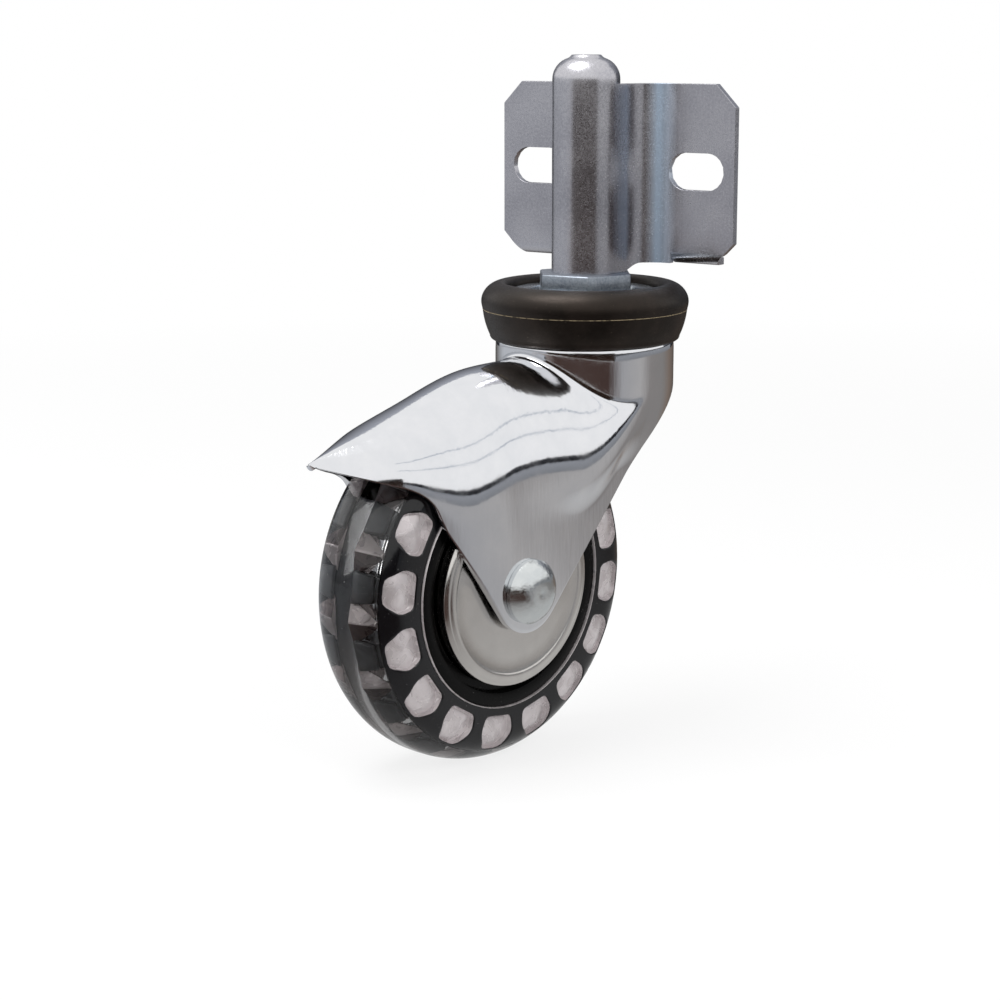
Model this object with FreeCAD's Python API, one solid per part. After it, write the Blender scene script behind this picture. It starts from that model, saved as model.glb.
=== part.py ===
import FreeCAD, Part
import math
import os

from FreeCAD import Vector

# Hooded swivel castor on a side-fixing bracket. Millimetres, +Z up.
# Origin: midway between the two fixing slots, on the back face of the bracket.
# +Y points into the panel that the bracket is screwed to, X runs along the slots.

# Bracket: one pressed sheet with a vertical pocket for the stem
sheet = 1.5                  # bracket sheet thickness
plate_width = 58.4
plate_top = 18.0             # upper edge of the wings above the slots
plate_bottom = -19.3         # underside of the bent lip
corner_cut = 4.7             # chamfer on the four wing corners
slot_width = 7.7
slot_edge = 2.6              # sheet left outside a slot
slot_root = -0.55            # flat sheet between a slot and the pocket's bend: the slot starts in the bend
lip_reach = 3.0              # how far the lip stands behind the back face
lip_bend = 1.0               # inside radius of the lip's bend
pocket_bend = 6.8            # front radius where the pocket runs into the wings
pocket_top = 23.4
pocket_bottom = -21.0
pocket_dome = 4.5            # edge radius of the closed pocket top
dome_hole = 5.0              # hole left in the middle of the dome
hole_rim_diameter = 6.6      # raised edge that piercing leaves round it
hole_rim_height = 0.5
flare = 1.6                  # widening of the pocket's foot towards the wings

# Stem: pin, hexagon and kingpin in one piece
stem_pin_diameter = 11.0
stem_fit = 0.05              # radial play of the pin in the pocket
pin_top_gap = 0.6
pin_chamfer = 2.4
axis_behind = 12.77          # swivel axis in front of the bracket's back face
hexagon_flats = 18.0
hexagon_height = 5.0
hexagon_chamfer = 0.6
hexagon_turn_deg = 7.0       # one corner towards the front right
journal_diameter = 9.8
peen_diameter = 13.6
peen_height = 2.2
grip_ring_height = 2.0
grip_ring_depth = 0.9
grip_ring_below_top = 6.0
grip_ring_split_deg = 50.0

# Swivel bearing: balls above and below the top plate of the hood
ball_diameter = 4.76
ball_circle = 22.8
ball_count = 13
small_ball_diameter = 3.2
small_ball_circle = 14.4
small_ball_count = 12
ball_play = 0.07
groove_depth = 1.2
small_groove_depth = 0.6
race_thickness = 2.7
race_diameter = 30.8
race_skirt = 1.2
race_skirt_drop = 1.7
race_rim_height = 1.5        # raised rim round the hexagon's foot
race_rim_bore = 22.6
retainer_diameter = 19.2
retainer_thickness = 2.0
bore_play = 0.1              # washers on the journal
hood_bore_play = 0.5         # journal through the turning top plate

# Rubber ring round the swivel bearing
ring_diameter = 43.2
seam_above_hood = 2.6        # mould seam above the hood's top plate
ring_above_seam = 5.6
ring_below_seam = 6.4
ring_belly = 0.3             # swell of the ring above its seam
ring_foot_diameter = 40.2
ring_crest_diameter = 35.6
ring_mouth_diameter = 32.4

# Hood: pressed sheet, from a round neck to a pointed front and two legs
hood_sheet = 1.5
neck_diameter = 37.8
neck_step = 1.9              # shoulder that the rubber ring sits on
hood_reach = 77.4            # tip in front of the swivel axis
tip_drop = 16.7              # tip below the underside of the ring
shoulder_drop = 2.4          # hood top below the underside of the ring, at the neck
leg_spread = 32.0            # outside faces of the legs
ogive_length = 40.4          # length over which the hood narrows to its tip
tip_width = 0.8
flank_depth = 24.0           # depth at which the neck's width has run into the legs
leg_end_radius = 8.6
leg_front_deg = 56.0         # slope of the leg's two straight edges
leg_back_deg = 49.0
leg_front_run = 23.0         # their lengths
leg_back_run = 24.0
lip_points = (               # share of the reach behind the tip, share of the tip's drop below it
    (0.048, 0.084), (0.1525, 0.2515), (0.225, 0.371), (0.27, 0.533),
)
rise_points = (              # behind the swivel axis, below the neck's shoulder
    (4.5, 14.1), (12.5, 7.1), (20.5, 4.1),
)
neck_crown = 6.5             # depth over which the neck's wall turns into the hood top
ridge_bend = 0.27            # share of the reach at which the level ridge starts to fall
ridge_softness = 0.1         # share of the reach over which it turns down

# Wheel and axle
wheel_diameter = 75.0
trail = 33.2                 # axle in front of the swivel axis
axle_below_seam = 52.9
swivel_at_rest_deg = -8.7
rivet_diameter = 6.0
rivet_head_diameter = 13.0
rivet_head_height = 2.8
closing_head_diameter = 12.0
closing_head_height = 2.2
axle_tube_diameter = 8.0
axle_play = 0.1
leg_pad_diameter = 15.0      # flat round the axle, under the rivet head and the washer
bearing_diameter = 22.0
bearing_width = 7.0
bearing_inner_diameter = 12.0
bearing_outer_bore = 18.0
bearing_ball_diameter = 3.97
bearing_ball_count = 7
side_washer_diameter = 11.6
side_washer_thickness = 2.6
hub_diameter = 27.0
web_thickness = 4.0
cap_diameter = 40.2
cap_sheet = 0.8
cap_crown = 0.6
cap_proud = 1.6              # face of the cap in front of the rim
cap_hole_diameter = 13.4
cap_flange = 5.0
rim_diameter = 49.6
rim_width = 21.8
rim_lip = 1.2
rim_channel = 1.4            # depth of the rim channel that keys the tyre
rim_recess = 1.7             # depth of the groove between the cap and the rim's side
rim_recess_diameter = 44.0
tyre_width = 22.0
tyre_side = (                # drop behind the side face, height as a share of the tyre's depth
    (0.0, 0.252), (0.6, 0.567), (1.8, 0.724), (5.0, 0.906),
)
window_count = 16
window_phase = 0.65          # share of a step from the top to the first window
window_inner_radius = 26.6
window_wide_radius = 30.0
window_outer_radius = 34.0
window_inner_width = 7.2
window_wide_width = 9.4
window_outer_width = 5.2
window_corner = 1.0
window_depth = 4.0

# Heights worked out from the values above, on the swivel axis
hex_bottom = pocket_bottom - hexagon_height
race_bottom = hex_bottom - race_thickness
ball_groove = ball_diameter / 2 + ball_play
small_groove = small_ball_diameter / 2 + ball_play
ball_level = race_bottom - (ball_groove - groove_depth)
hood_top = ball_level - (ball_groove - groove_depth)
hood_under = hood_top - hood_sheet
small_ball_level = hood_under - (small_groove - small_groove_depth)
retainer_top = small_ball_level - (small_groove - small_groove_depth)
retainer_bottom = retainer_top - retainer_thickness
seam = hood_top + seam_above_hood
ring_bottom = seam - ring_below_seam
ring_top = seam + ring_above_seam
shoulder = ring_bottom - shoulder_drop
axle_level = seam - axle_below_seam
leg_face = leg_spread / 2
leg_inside = leg_face - hood_sheet
bearing_face = leg_inside - side_washer_thickness
bearing_back = bearing_face - bearing_width
pocket_inside = stem_pin_diameter / 2 + stem_fit
pocket_outside = pocket_inside + sheet
wing_flat = plate_width / 2 - pocket_outside - pocket_bend
slot_length = wing_flat - slot_edge - slot_root
slot_centre = plate_width / 2 - slot_edge - slot_length / 2


def save(name, shape):
    shape.exportStep(os.path.join("parts", name + ".step"))
    print(name, "solids", len(shape.Solids), "valid", shape.isValid(), "volume", round(shape.Volume, 1))


def revolve_z(points):
    """A turned piece about the swivel axis, from (radius, height) points."""
    wire = Part.makePolygon([Vector(r, 0, z) for r, z in points + points[:1]])
    return Part.Face(wire).revolve(Vector(0, 0, 0), Vector(0, 0, 1), 360)


def revolve_x(points):
    """A turned piece about the axle, from (side, radius) points."""
    wire = Part.makePolygon([Vector(x, 0, r) for x, r in points + points[:1]])
    return Part.Face(wire).revolve(Vector(0, 0, 0), Vector(1, 0, 0), 360)


def tube_x(inner, outer, start, end):
    return revolve_x([(start, inner), (end, inner), (end, outer), (start, outer)])


def smooth(value):
    value = min(max(value, 0.0), 1.0)
    return value * value * (3 - 2 * value)


def on_swivel(shape):
    """From the swivel axis to its place in front of the bracket."""
    shape.translate(Vector(0, -axis_behind, 0))
    return shape


def on_fork(shape):
    """Turn with the hood to its rest angle, then to its place."""
    shape.rotate(Vector(0, 0, 0), Vector(0, 0, 1), swivel_at_rest_deg)
    return on_swivel(shape)


def on_axle(shape):
    """From a wheel that stands at the origin to the axle."""
    shape.translate(Vector(0, -trail, axle_level))
    return on_fork(shape)


def ball_ring(diameter, circle, count, level):
    balls = []
    for index in range(count):
        angle = 2 * math.pi * index / count
        place = Vector(circle / 2 * math.cos(angle), circle / 2 * math.sin(angle), level)
        balls.append(Part.makeSphere(diameter / 2, place))
    return Part.makeCompound(balls)


def pocket_outline(inset, back):
    """Plan of the pocket and its run into the wings, at the sheet's front or back side."""
    radius = pocket_outside - inset
    bend = pocket_bend + inset
    front = -sheet + inset
    reach = pocket_outside + pocket_bend
    turn = Vector(-reach, -sheet - pocket_bend, 0)
    half = bend * math.sqrt(0.5)
    left = Part.Arc(Vector(-reach, front, 0), turn + Vector(half, half, 0), turn + Vector(bend, 0, 0))
    right = Part.Arc(Vector(reach - bend, turn.y, 0), Vector(reach - half, turn.y + half, 0),
                     Vector(reach, front, 0))
    nose = Part.Arc(Vector(-radius, -axis_behind, 0), Vector(0, -axis_behind - radius, 0),
                    Vector(radius, -axis_behind, 0))
    edges = [
        Part.LineSegment(Vector(-plate_width / 2, front, 0), Vector(-reach, front, 0)),
        left,
        Part.LineSegment(Vector(-radius, turn.y, 0), Vector(-radius, -axis_behind, 0)),
        nose,
        Part.LineSegment(Vector(radius, -axis_behind, 0), Vector(radius, turn.y, 0)),
        right,
        Part.LineSegment(Vector(reach, front, 0), Vector(plate_width / 2, front, 0)),
        Part.LineSegment(Vector(plate_width / 2, front, 0), Vector(plate_width / 2, back, 0)),
        Part.LineSegment(Vector(plate_width / 2, back, 0), Vector(-plate_width / 2, back, 0)),
        Part.LineSegment(Vector(-plate_width / 2, back, 0), Vector(-plate_width / 2, front, 0)),
    ]
    return Part.Face(Part.Wire([edge.toShape() for edge in edges]))


def bracket_front():
    """Front view of the wings with their cut corners, and of the pocket's foot."""
    side = plate_width / 2
    narrow = pocket_outside
    wide = narrow + flare
    half = [
        (narrow, pocket_bottom), (wide, plate_bottom),
        (side - corner_cut, plate_bottom), (side, plate_bottom + corner_cut),
        (side, plate_top - corner_cut), (side - corner_cut, plate_top),
    ]
    mirrored = [(-x, z) for x, z in reversed(half)]
    points = [Vector(x, 0, z) for x, z in half + mirrored + half[:1]]
    return Part.Face(Part.makePolygon(points))


def slot(centre):
    end = slot_width / 2
    straight = (slot_length - slot_width) / 2
    box = Part.makeBox(2 * straight, 4 * sheet, slot_width, Vector(centre - straight, -3 * sheet, -end))
    caps = [
        Part.makeCylinder(end, 4 * sheet, Vector(centre + side * straight, -3 * sheet, 0), Vector(0, 1, 0))
        for side in (-1, 1)
    ]
    return box.fuse(caps)


def bent_lip(start, end):
    """The lower edge of a wing, bent back through a right angle."""
    centre_y, centre_z = lip_bend, plate_bottom + sheet + lip_bend
    outer = lip_bend + sheet
    profile = []
    for radius, flip in ((outer, False), (lip_bend, True)):
        points = [Vector(0, centre_y - radius, centre_z),
                  Vector(0, centre_y - radius * math.sqrt(0.5), centre_z - radius * math.sqrt(0.5)),
                  Vector(0, centre_y, centre_z - radius)]
        if flip:
            points.reverse()
        profile.append(Part.Arc(*points).toShape())
    tip_low = Vector(0, lip_reach, plate_bottom)
    tip_high = Vector(0, lip_reach, plate_bottom + sheet)
    low = Part.LineSegment(Vector(0, centre_y, plate_bottom), tip_low).toShape()
    tip = Part.LineSegment(tip_low, tip_high).toShape()
    high = Part.LineSegment(tip_high, Vector(0, centre_y, plate_bottom + sheet)).toShape()
    root = Part.LineSegment(Vector(0, 0, centre_z), Vector(0, -sheet, centre_z)).toShape()
    wire = Part.Wire([profile[0], low, tip, high, profile[1], root])
    solid = Part.Face(wire).extrude(Vector(end - start, 0, 0))
    solid.translate(Vector(start, 0, 0))
    return solid


def domed_post(radius, height, edge):
    """A round post whose top edge is rounded, standing on the pocket's foot."""
    post = Part.makeCylinder(radius, height)
    rim = [side for side in post.Edges if side.BoundBox.ZMin > height - edge / 2]
    post = post.makeFillet(edge, rim)
    post.translate(Vector(0, -axis_behind, pocket_bottom))
    return post


def mounting_bracket():
    height = pocket_top - pocket_bottom
    lift = Vector(0, 0, pocket_bottom)
    post = domed_post(pocket_outside, height, pocket_dome)
    hole_rim = Part.makeCylinder(hole_rim_diameter / 2, sheet + hole_rim_height,
                                 Vector(0, -axis_behind, pocket_top - sheet))
    bore = domed_post(pocket_inside, height - sheet, pocket_dome - sheet)
    outside = pocket_outline(0, sheet).extrude(Vector(0, 0, height))
    outside.translate(lift)
    inside = pocket_outline(sheet, 2 * sheet).extrude(Vector(0, 0, plate_top - pocket_bottom))
    inside.translate(lift)
    behind = Part.makeBox(2 * plate_width, 20, 3 * height, Vector(-plate_width, 0, -1.5 * height))
    front = bracket_front().extrude(Vector(0, axis_behind + 2 * sheet, 0))
    front.translate(Vector(0, -axis_behind, 0))
    outside = outside.common(front).fuse([post, hole_rim])
    body = outside.cut([inside, bore, behind])
    body = body.cut(Part.makeCylinder(dome_hole / 2, 4 * sheet,
                                      Vector(0, -axis_behind, pocket_top - 2 * sheet)))
    inner = pocket_outside + pocket_bend + 0.2
    outer = plate_width / 2 - corner_cut
    for side in (-1, 1):
        start, end = sorted((side * inner, side * outer))
        strip = Part.makeBox(end - start, 4 * sheet, lip_bend + sheet,
                             Vector(start, -2 * sheet, plate_bottom))
        body = body.cut(strip).fuse(bent_lip(start, end))
        body = body.cut(slot(side * slot_centre))
    return body.removeSplitter()


def hexagon():
    across = hexagon_flats / 2
    corner = across / math.cos(math.pi / 6)
    corners = [Vector(corner * math.cos(math.radians(60 * k)), corner * math.sin(math.radians(60 * k)),
                      hex_bottom) for k in range(7)]
    prism = Part.Face(Part.makePolygon(corners)).extrude(Vector(0, 0, hexagon_height))
    prism.rotate(Vector(0, 0, 0), Vector(0, 0, 1), hexagon_turn_deg)
    bevel = revolve_z([
        (0, hex_bottom), (corner, hex_bottom), (corner, pocket_bottom - hexagon_chamfer),
        (corner - 1.7 * hexagon_chamfer, pocket_bottom), (0, pocket_bottom),
    ])
    return prism.common(bevel)


def stem():
    pin = stem_pin_diameter / 2
    top = pocket_top - sheet - pin_top_gap
    groove_top = top - grip_ring_below_top
    groove_low = groove_top - grip_ring_height
    groove = pin - grip_ring_depth
    journal = journal_diameter / 2
    peen = peen_diameter / 2
    foot = retainer_bottom - peen_height
    turned = revolve_z([
        (0, foot), (0.6 * peen, foot), (0.9 * peen, foot + 0.35 * peen_height),
        (peen, retainer_bottom - 0.2 * peen_height), (peen, retainer_bottom), (journal, retainer_bottom),
        (journal, hex_bottom), (pin, hex_bottom + 1), (pin, groove_low), (groove, groove_low),
        (groove, groove_top), (pin, groove_top), (pin, top - pin_chamfer), (pin - pin_chamfer, top), (0, top),
    ])
    return on_swivel(turned.fuse(hexagon()).removeSplitter())


def grip_ring():
    top = pocket_top - sheet - pin_top_gap - grip_ring_below_top
    inner = stem_pin_diameter / 2 - grip_ring_depth + 0.05
    ring = revolve_z([
        (inner, top - grip_ring_height + 0.05), (pocket_inside - 0.02, top - grip_ring_height + 0.05),
        (pocket_inside - 0.02, top - 0.05), (inner, top - 0.05),
    ])
    reach = stem_pin_diameter
    half = math.radians(grip_ring_split_deg / 2)
    wedge = Part.Face(Part.makePolygon([
        Vector(0, 0, top - reach), Vector(-reach * math.sin(half), reach * math.cos(half), top - reach),
        Vector(reach * math.sin(half), reach * math.cos(half), top - reach), Vector(0, 0, top - reach),
    ])).extrude(Vector(0, 0, 2 * reach))
    return on_swivel(ring.cut(wedge))


def upper_race():
    outer = race_diameter / 2
    bore = journal_diameter / 2 + bore_play
    rim_top = hex_bottom + race_rim_height
    cup = revolve_z([
        (bore, race_bottom), (outer - race_skirt, race_bottom),
        (outer - race_skirt, race_bottom - race_skirt_drop), (outer, race_bottom - race_skirt_drop),
        (outer, rim_top - 0.8), (outer - 0.8, rim_top), (race_rim_bore / 2, rim_top),
        (race_rim_bore / 2 - 0.4, hex_bottom), (bore, hex_bottom),
    ])
    track = Part.makeTorus(ball_circle / 2, ball_groove, Vector(0, 0, ball_level))
    return on_swivel(cup.cut(track))


def lower_race():
    outer = retainer_diameter / 2
    bore = journal_diameter / 2 + bore_play
    washer = revolve_z([
        (bore, retainer_bottom), (outer - 1.2, retainer_bottom), (outer, retainer_bottom + 0.9),
        (outer, retainer_top), (bore, retainer_top),
    ])
    track = Part.makeTorus(small_ball_circle / 2, small_groove, Vector(0, 0, small_ball_level))
    return on_swivel(washer.cut(track))


def bumper_ring():
    """Rubber ring with a mould seam, a rolled top and a tapered foot."""
    outer = ring_diameter / 2
    foot = ring_foot_diameter / 2
    crest = ring_crest_diameter / 2
    mouth = ring_mouth_diameter / 2
    grip = neck_diameter / 2 - neck_step + 0.05
    edges = [
        Part.LineSegment(Vector(grip, 0, ring_bottom), Vector(foot - 0.8, 0, ring_bottom)),
        Part.Arc(Vector(foot - 0.8, 0, ring_bottom), Vector(foot - 0.2, 0, ring_bottom + 0.3),
                 Vector(foot, 0, ring_bottom + 0.9)),
        Part.Arc(Vector(foot, 0, ring_bottom + 0.9), Vector(outer - 0.45, 0, seam - 2.6),
                 Vector(outer, 0, seam)),
        Part.Arc(Vector(outer, 0, seam), Vector(outer + ring_belly, 0, seam + 1.5),
                 Vector(outer + 0.5 * ring_belly, 0, seam + 2.6)),
        Part.Arc(Vector(outer + 0.5 * ring_belly, 0, seam + 2.6), Vector(outer - 1.0, 0, seam + 4.4),
                 Vector(crest, 0, ring_top)),
        Part.Arc(Vector(crest, 0, ring_top), Vector(mouth + 0.45, 0, ring_top - 0.55),
                 Vector(mouth, 0, ring_top - 1.7)),
        Part.LineSegment(Vector(mouth, 0, ring_top - 1.7), Vector(mouth, 0, hood_top + 0.05)),
        Part.LineSegment(Vector(mouth, 0, hood_top + 0.05), Vector(grip, 0, hood_top + 0.05)),
        Part.LineSegment(Vector(grip, 0, hood_top + 0.05), Vector(grip, 0, ring_bottom)),
    ]
    face = Part.Face(Part.Wire([edge.toShape() for edge in edges]))
    return on_fork(face.revolve(Vector(0, 0, 0), Vector(0, 0, 1), 360))


def crest_level(ahead):
    """Height of the hood's ridge at a distance ahead of the swivel axis."""
    run = max(ahead - neck_diameter / 2, 0) / (hood_reach - neck_diameter / 2)
    level, fall, full = (math.hypot(place - ridge_bend, ridge_softness) + place for place in (0, run, 1))
    return shoulder - (tip_drop - shoulder_drop) * (fall - level) / (full - level)


def plan_half_width(ahead, inset):
    """The hood narrows to its tip along the arc of a pointed arch."""
    radius = (ogive_length ** 2 + leg_face ** 2) / (2 * leg_face)
    run = max(ahead - (hood_reach - ogive_length), 0)
    return math.sqrt(max((radius - inset) ** 2 - run ** 2, 0)) - (radius - leg_face)


def hood_section(ahead, inset, floor):
    """An upside-down U across the hood: a rounded crown above two flat flanks."""
    along = smooth(ahead / (hood_reach - ogive_length))
    neck = neck_diameter / 2 - inset
    flank = plan_half_width(ahead, inset)
    wide = flank + (neck - (leg_face - inset)) * (1 - along)
    top = crest_level(ahead) - inset
    crown = neck_crown + along * (0.8 * (top - (shoulder - flank_depth)) - neck_crown)
    power = 2.8 - 0.6 * along
    right = []
    for index in range(9):
        turn = index / 8 * math.pi / 2
        right.append((wide * math.sin(turn) ** (2 / power), top - crown * (1 - math.cos(turn) ** (2 / power))))
    low = shoulder - flank_depth
    for index in range(1, 5):
        fall = index / 4
        right.append((wide + (flank - wide) * smooth(fall), top - crown + (low - top + crown) * fall))
    points = [Vector(-x, -ahead, z) for x, z in reversed(right[1:])] + [Vector(x, -ahead, z) for x, z in right]
    curve = Part.BSplineCurve()
    curve.interpolate(points)
    over = curve.toShape()
    left_foot = Vector(points[0].x, -ahead, floor)
    right_foot = Vector(points[-1].x, -ahead, floor)
    sides = [
        Part.LineSegment(points[-1], right_foot).toShape(),
        Part.LineSegment(right_foot, left_foot).toShape(),
        Part.LineSegment(left_foot, points[0]).toShape(),
    ]
    return Part.Wire([over] + sides), curve


def hood_block(inset, floor):
    """The hood's outside or inside as a full block, with a round back."""
    nose = tip_width / 2
    radius = (ogive_length ** 2 + leg_face ** 2) / (2 * leg_face)
    last = hood_reach - ogive_length + math.sqrt((radius - inset) ** 2 - (radius - leg_face + nose) ** 2)
    steps = (0, 0.13, 0.27, 0.4, 0.53, 0.66, 0.77, 0.86, 0.93, 0.975, 1)
    sections = [hood_section(last * step, inset, floor)[0] for step in steps]
    front = Part.makeLoft(sections, True, False)
    curve = hood_section(0, inset, floor)[1]
    middle = (curve.FirstParameter + curve.LastParameter) / 2
    half = curve.toShape(middle, curve.LastParameter)
    crest = curve.value(middle)
    side = curve.value(curve.LastParameter)
    corner = Vector(side.x, 0, floor)
    foot = Vector(0, 0, floor)
    wire = Part.Wire([half, Part.makeLine(side, corner), Part.makeLine(corner, foot),
                      Part.makeLine(foot, crest)])
    back = Part.Face(wire).revolve(Vector(0, 0, 0), Vector(0, 0, 1), 180)
    return front.fuse(back)


def hood_side():
    """Side view of the hood: lip, leg with a round end, and the rise to the back of the neck."""
    tip = shoulder - tip_drop + shoulder_drop
    radius = leg_end_radius
    wheel_y = -trail
    lean_front = math.radians(leg_front_deg)
    lean_back = math.radians(leg_back_deg)
    front_end = Vector(0, wheel_y - radius * math.sin(lean_front), axle_level - radius * math.cos(lean_front))
    back_end = Vector(0, wheel_y + radius * math.sin(lean_back), axle_level - radius * math.cos(lean_back))
    bottom = Vector(0, wheel_y, axle_level - radius)
    front_knee = front_end + Vector(0, -math.cos(lean_front), math.sin(lean_front)) * leg_front_run
    back_knee = back_end + Vector(0, math.cos(lean_back), math.sin(lean_back)) * leg_back_run
    nose = Vector(0, -hood_reach - 1, tip + 0.2)
    under = [Vector(0, hood_reach * (share - 1), tip - tip_drop * drop) for share, drop in lip_points]
    lip = Part.BSplineCurve()
    lip.interpolate([nose] + under + [front_knee],
                    InitialTangent=Vector(0, 1, -0.3), FinalTangent=front_end - front_knee)
    behind = [Vector(0, back, shoulder - drop) for back, drop in rise_points]
    rise = Part.BSplineCurve()
    rise.interpolate([back_knee] + behind, InitialTangent=back_knee - back_end,
                     FinalTangent=Vector(0, 1, 0.1))
    back_top = Vector(0, behind[-1].y, ring_top)
    front_top = Vector(0, nose.y, ring_top)
    edges = [
        lip.toShape(), Part.makeLine(front_knee, front_end),
        Part.Arc(front_end, bottom, back_end).toShape(), Part.makeLine(back_end, back_knee),
        rise.toShape(), Part.makeLine(behind[-1], back_top),
        Part.makeLine(back_top, front_top), Part.makeLine(front_top, nose),
    ]
    return Part.Face(Part.Wire(edges))


def fork_hood():
    floor = axle_level - 2 * leg_end_radius
    neck = neck_diameter / 2
    seat = neck - neck_step
    collar = revolve_z([
        (0, shoulder - neck_crown), (neck, shoulder - neck_crown), (neck, ring_bottom), (seat, ring_bottom),
        (seat, hood_top - 0.8), (seat - 0.8, hood_top), (0, hood_top),
    ])
    hollow = revolve_z([
        (0, shoulder - neck_crown - 2), (neck - hood_sheet, shoulder - neck_crown - 2),
        (neck - hood_sheet, ring_bottom - hood_sheet),
        (seat - hood_sheet, ring_bottom - hood_sheet), (seat - hood_sheet, hood_under), (0, hood_under),
    ])
    under_track = Part.makeTorus(ball_circle / 2, ball_groove + hood_sheet, Vector(0, 0, ball_level))
    outside = hood_block(0, floor).fuse(collar)
    inside = hood_block(hood_sheet, floor - 1).fuse(hollow).cut(under_track)
    shell = outside.cut(inside)
    side = hood_side().extrude(Vector(4 * leg_face, 0, 0))
    side.translate(Vector(-2 * leg_face, 0, 0))
    shell = shell.common(side)
    bore = Part.makeCylinder(journal_diameter / 2 + hood_bore_play, 20, Vector(0, 0, hood_under - 10))
    track = Part.makeTorus(ball_circle / 2, ball_groove, Vector(0, 0, ball_level))
    low_track = Part.makeTorus(small_ball_circle / 2, small_groove, Vector(0, 0, small_ball_level))
    axle = Part.makeCylinder(rivet_diameter / 2 + axle_play / 2, 3 * leg_face,
                             Vector(-1.5 * leg_face, -trail, axle_level), Vector(1, 0, 0))
    pad = leg_pad_diameter / 2
    pads = [Part.makeCylinder(pad, length, Vector(start, -trail, axle_level), Vector(1, 0, 0))
            for start, length in ((-leg_inside, 2 * leg_inside), (leg_face, 1), (-leg_face - 1, 1))]
    return on_fork(shell.cut([bore, track, low_track, axle] + pads))


def axle_rivet():
    """Solid rivet: a domed head on the right leg, a closing head on the left one."""
    shank = rivet_diameter / 2
    head = rivet_head_diameter / 2
    close = closing_head_diameter / 2
    right = leg_face
    left = -leg_face
    return on_axle(revolve_x([
        (left - closing_head_height, 0), (left - closing_head_height, 0.3 * close),
        (left - 0.8 * closing_head_height, 0.62 * close), (left - 0.5 * closing_head_height, 0.86 * close),
        (left - 0.15 * closing_head_height, close), (left, close), (left, shank), (right, shank),
        (right, head), (right + 0.2 * rivet_head_height, head), (right + 0.45 * rivet_head_height, 0.92 * head),
        (right + 0.7 * rivet_head_height, 0.76 * head), (right + 0.9 * rivet_head_height, 0.5 * head),
        (right + rivet_head_height, 0.2 * head), (right + rivet_head_height, 0),
    ]))


def axle_tube():
    inner = rivet_diameter / 2 + axle_play / 2
    return on_axle(tube_x(inner, axle_tube_diameter / 2, -leg_inside, leg_inside))


def side_washer(side):
    start, end = sorted((side * bearing_face, side * leg_inside))
    return on_axle(tube_x(axle_tube_diameter / 2 + axle_play / 2, side_washer_diameter / 2, start, end))


def bearing_track(side):
    middle = side * (bearing_face + bearing_back) / 2
    circle = (bearing_inner_diameter + bearing_outer_bore) / 4
    return Part.makeTorus(circle, bearing_ball_diameter / 2 + 0.04, Vector(middle, 0, 0), Vector(1, 0, 0))


def bearing_inner(side):
    start, end = sorted((side * bearing_back, side * bearing_face))
    ring = tube_x(axle_tube_diameter / 2 + axle_play / 2, bearing_inner_diameter / 2, start, end)
    return on_axle(ring.cut(bearing_track(side)))


def bearing_outer(side):
    start, end = sorted((side * bearing_back, side * bearing_face))
    ring = tube_x(bearing_outer_bore / 2, bearing_diameter / 2, start, end)
    return on_axle(ring.cut(bearing_track(side)))


def bearing_balls(side):
    circle = (bearing_inner_diameter + bearing_outer_bore) / 2
    balls = ball_ring(bearing_ball_diameter, circle, bearing_ball_count, 0)
    balls.rotate(Vector(0, 0, 0), Vector(0, 1, 0), 90)
    balls.translate(Vector(side * (bearing_face + bearing_back) / 2, 0, 0))
    return on_axle(balls)


def bearing_spacer():
    inner = axle_tube_diameter / 2 + axle_play / 2
    return on_axle(tube_x(inner, bearing_inner_diameter / 2 - 0.5, -bearing_back, bearing_back))


def wheel_core():
    """Moulded hub, web and rim, with a channel round the rim that keys the tyre."""
    seat = bearing_diameter / 2
    hub = hub_diameter / 2
    rim = rim_diameter / 2
    inner = cap_diameter / 2
    half = rim_width / 2
    web = web_thickness / 2
    step = bearing_outer_bore / 2 + 0.5
    channel = rim - rim_channel
    recess = rim_recess_diameter / 2
    profile = [
        (bearing_face, seat), (bearing_face, hub), (web + 1, hub), (web, hub + 1), (web, inner - 1),
        (web + 1, inner), (half - rim_recess, inner), (half - rim_recess, recess - 0.3),
        (half - 0.3, recess), (half, recess + 0.3), (half, rim), (half - rim_lip, rim),
        (half - rim_lip - rim_channel, channel), (-half + rim_lip + rim_channel, channel),
        (-half + rim_lip, rim), (-half, rim), (-half, recess + 0.3), (-half + 0.3, recess),
        (-half + rim_recess, recess - 0.3), (-half + rim_recess, inner), (-web - 1, inner),
        (-web, inner - 1), (-web, hub + 1), (-web - 1, hub), (-bearing_face, hub), (-bearing_face, seat),
        (-bearing_back, seat), (-bearing_back, step), (bearing_back, step), (bearing_back, seat),
    ]
    return on_axle(revolve_x(profile))


def window(side):
    """One pocket in the tyre's side: a house shape with its narrow end at the tread."""
    half = [(window_inner_radius, window_inner_width / 2), (window_wide_radius, window_wide_width / 2),
            (window_outer_radius, window_outer_width / 2)]
    outline = half + [(r, -w) for r, w in reversed(half)]
    face = side * tyre_width / 2
    points = [Vector(face - side * window_depth, w, r) for r, w in outline + outline[:1]]
    block = Part.Face(Part.makePolygon(points)).extrude(Vector(side * 2 * window_depth, 0, 0))
    long_edges = [edge for edge in block.Edges if edge.BoundBox.XLength > window_depth]
    return block.makeFillet(window_corner, long_edges)


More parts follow.
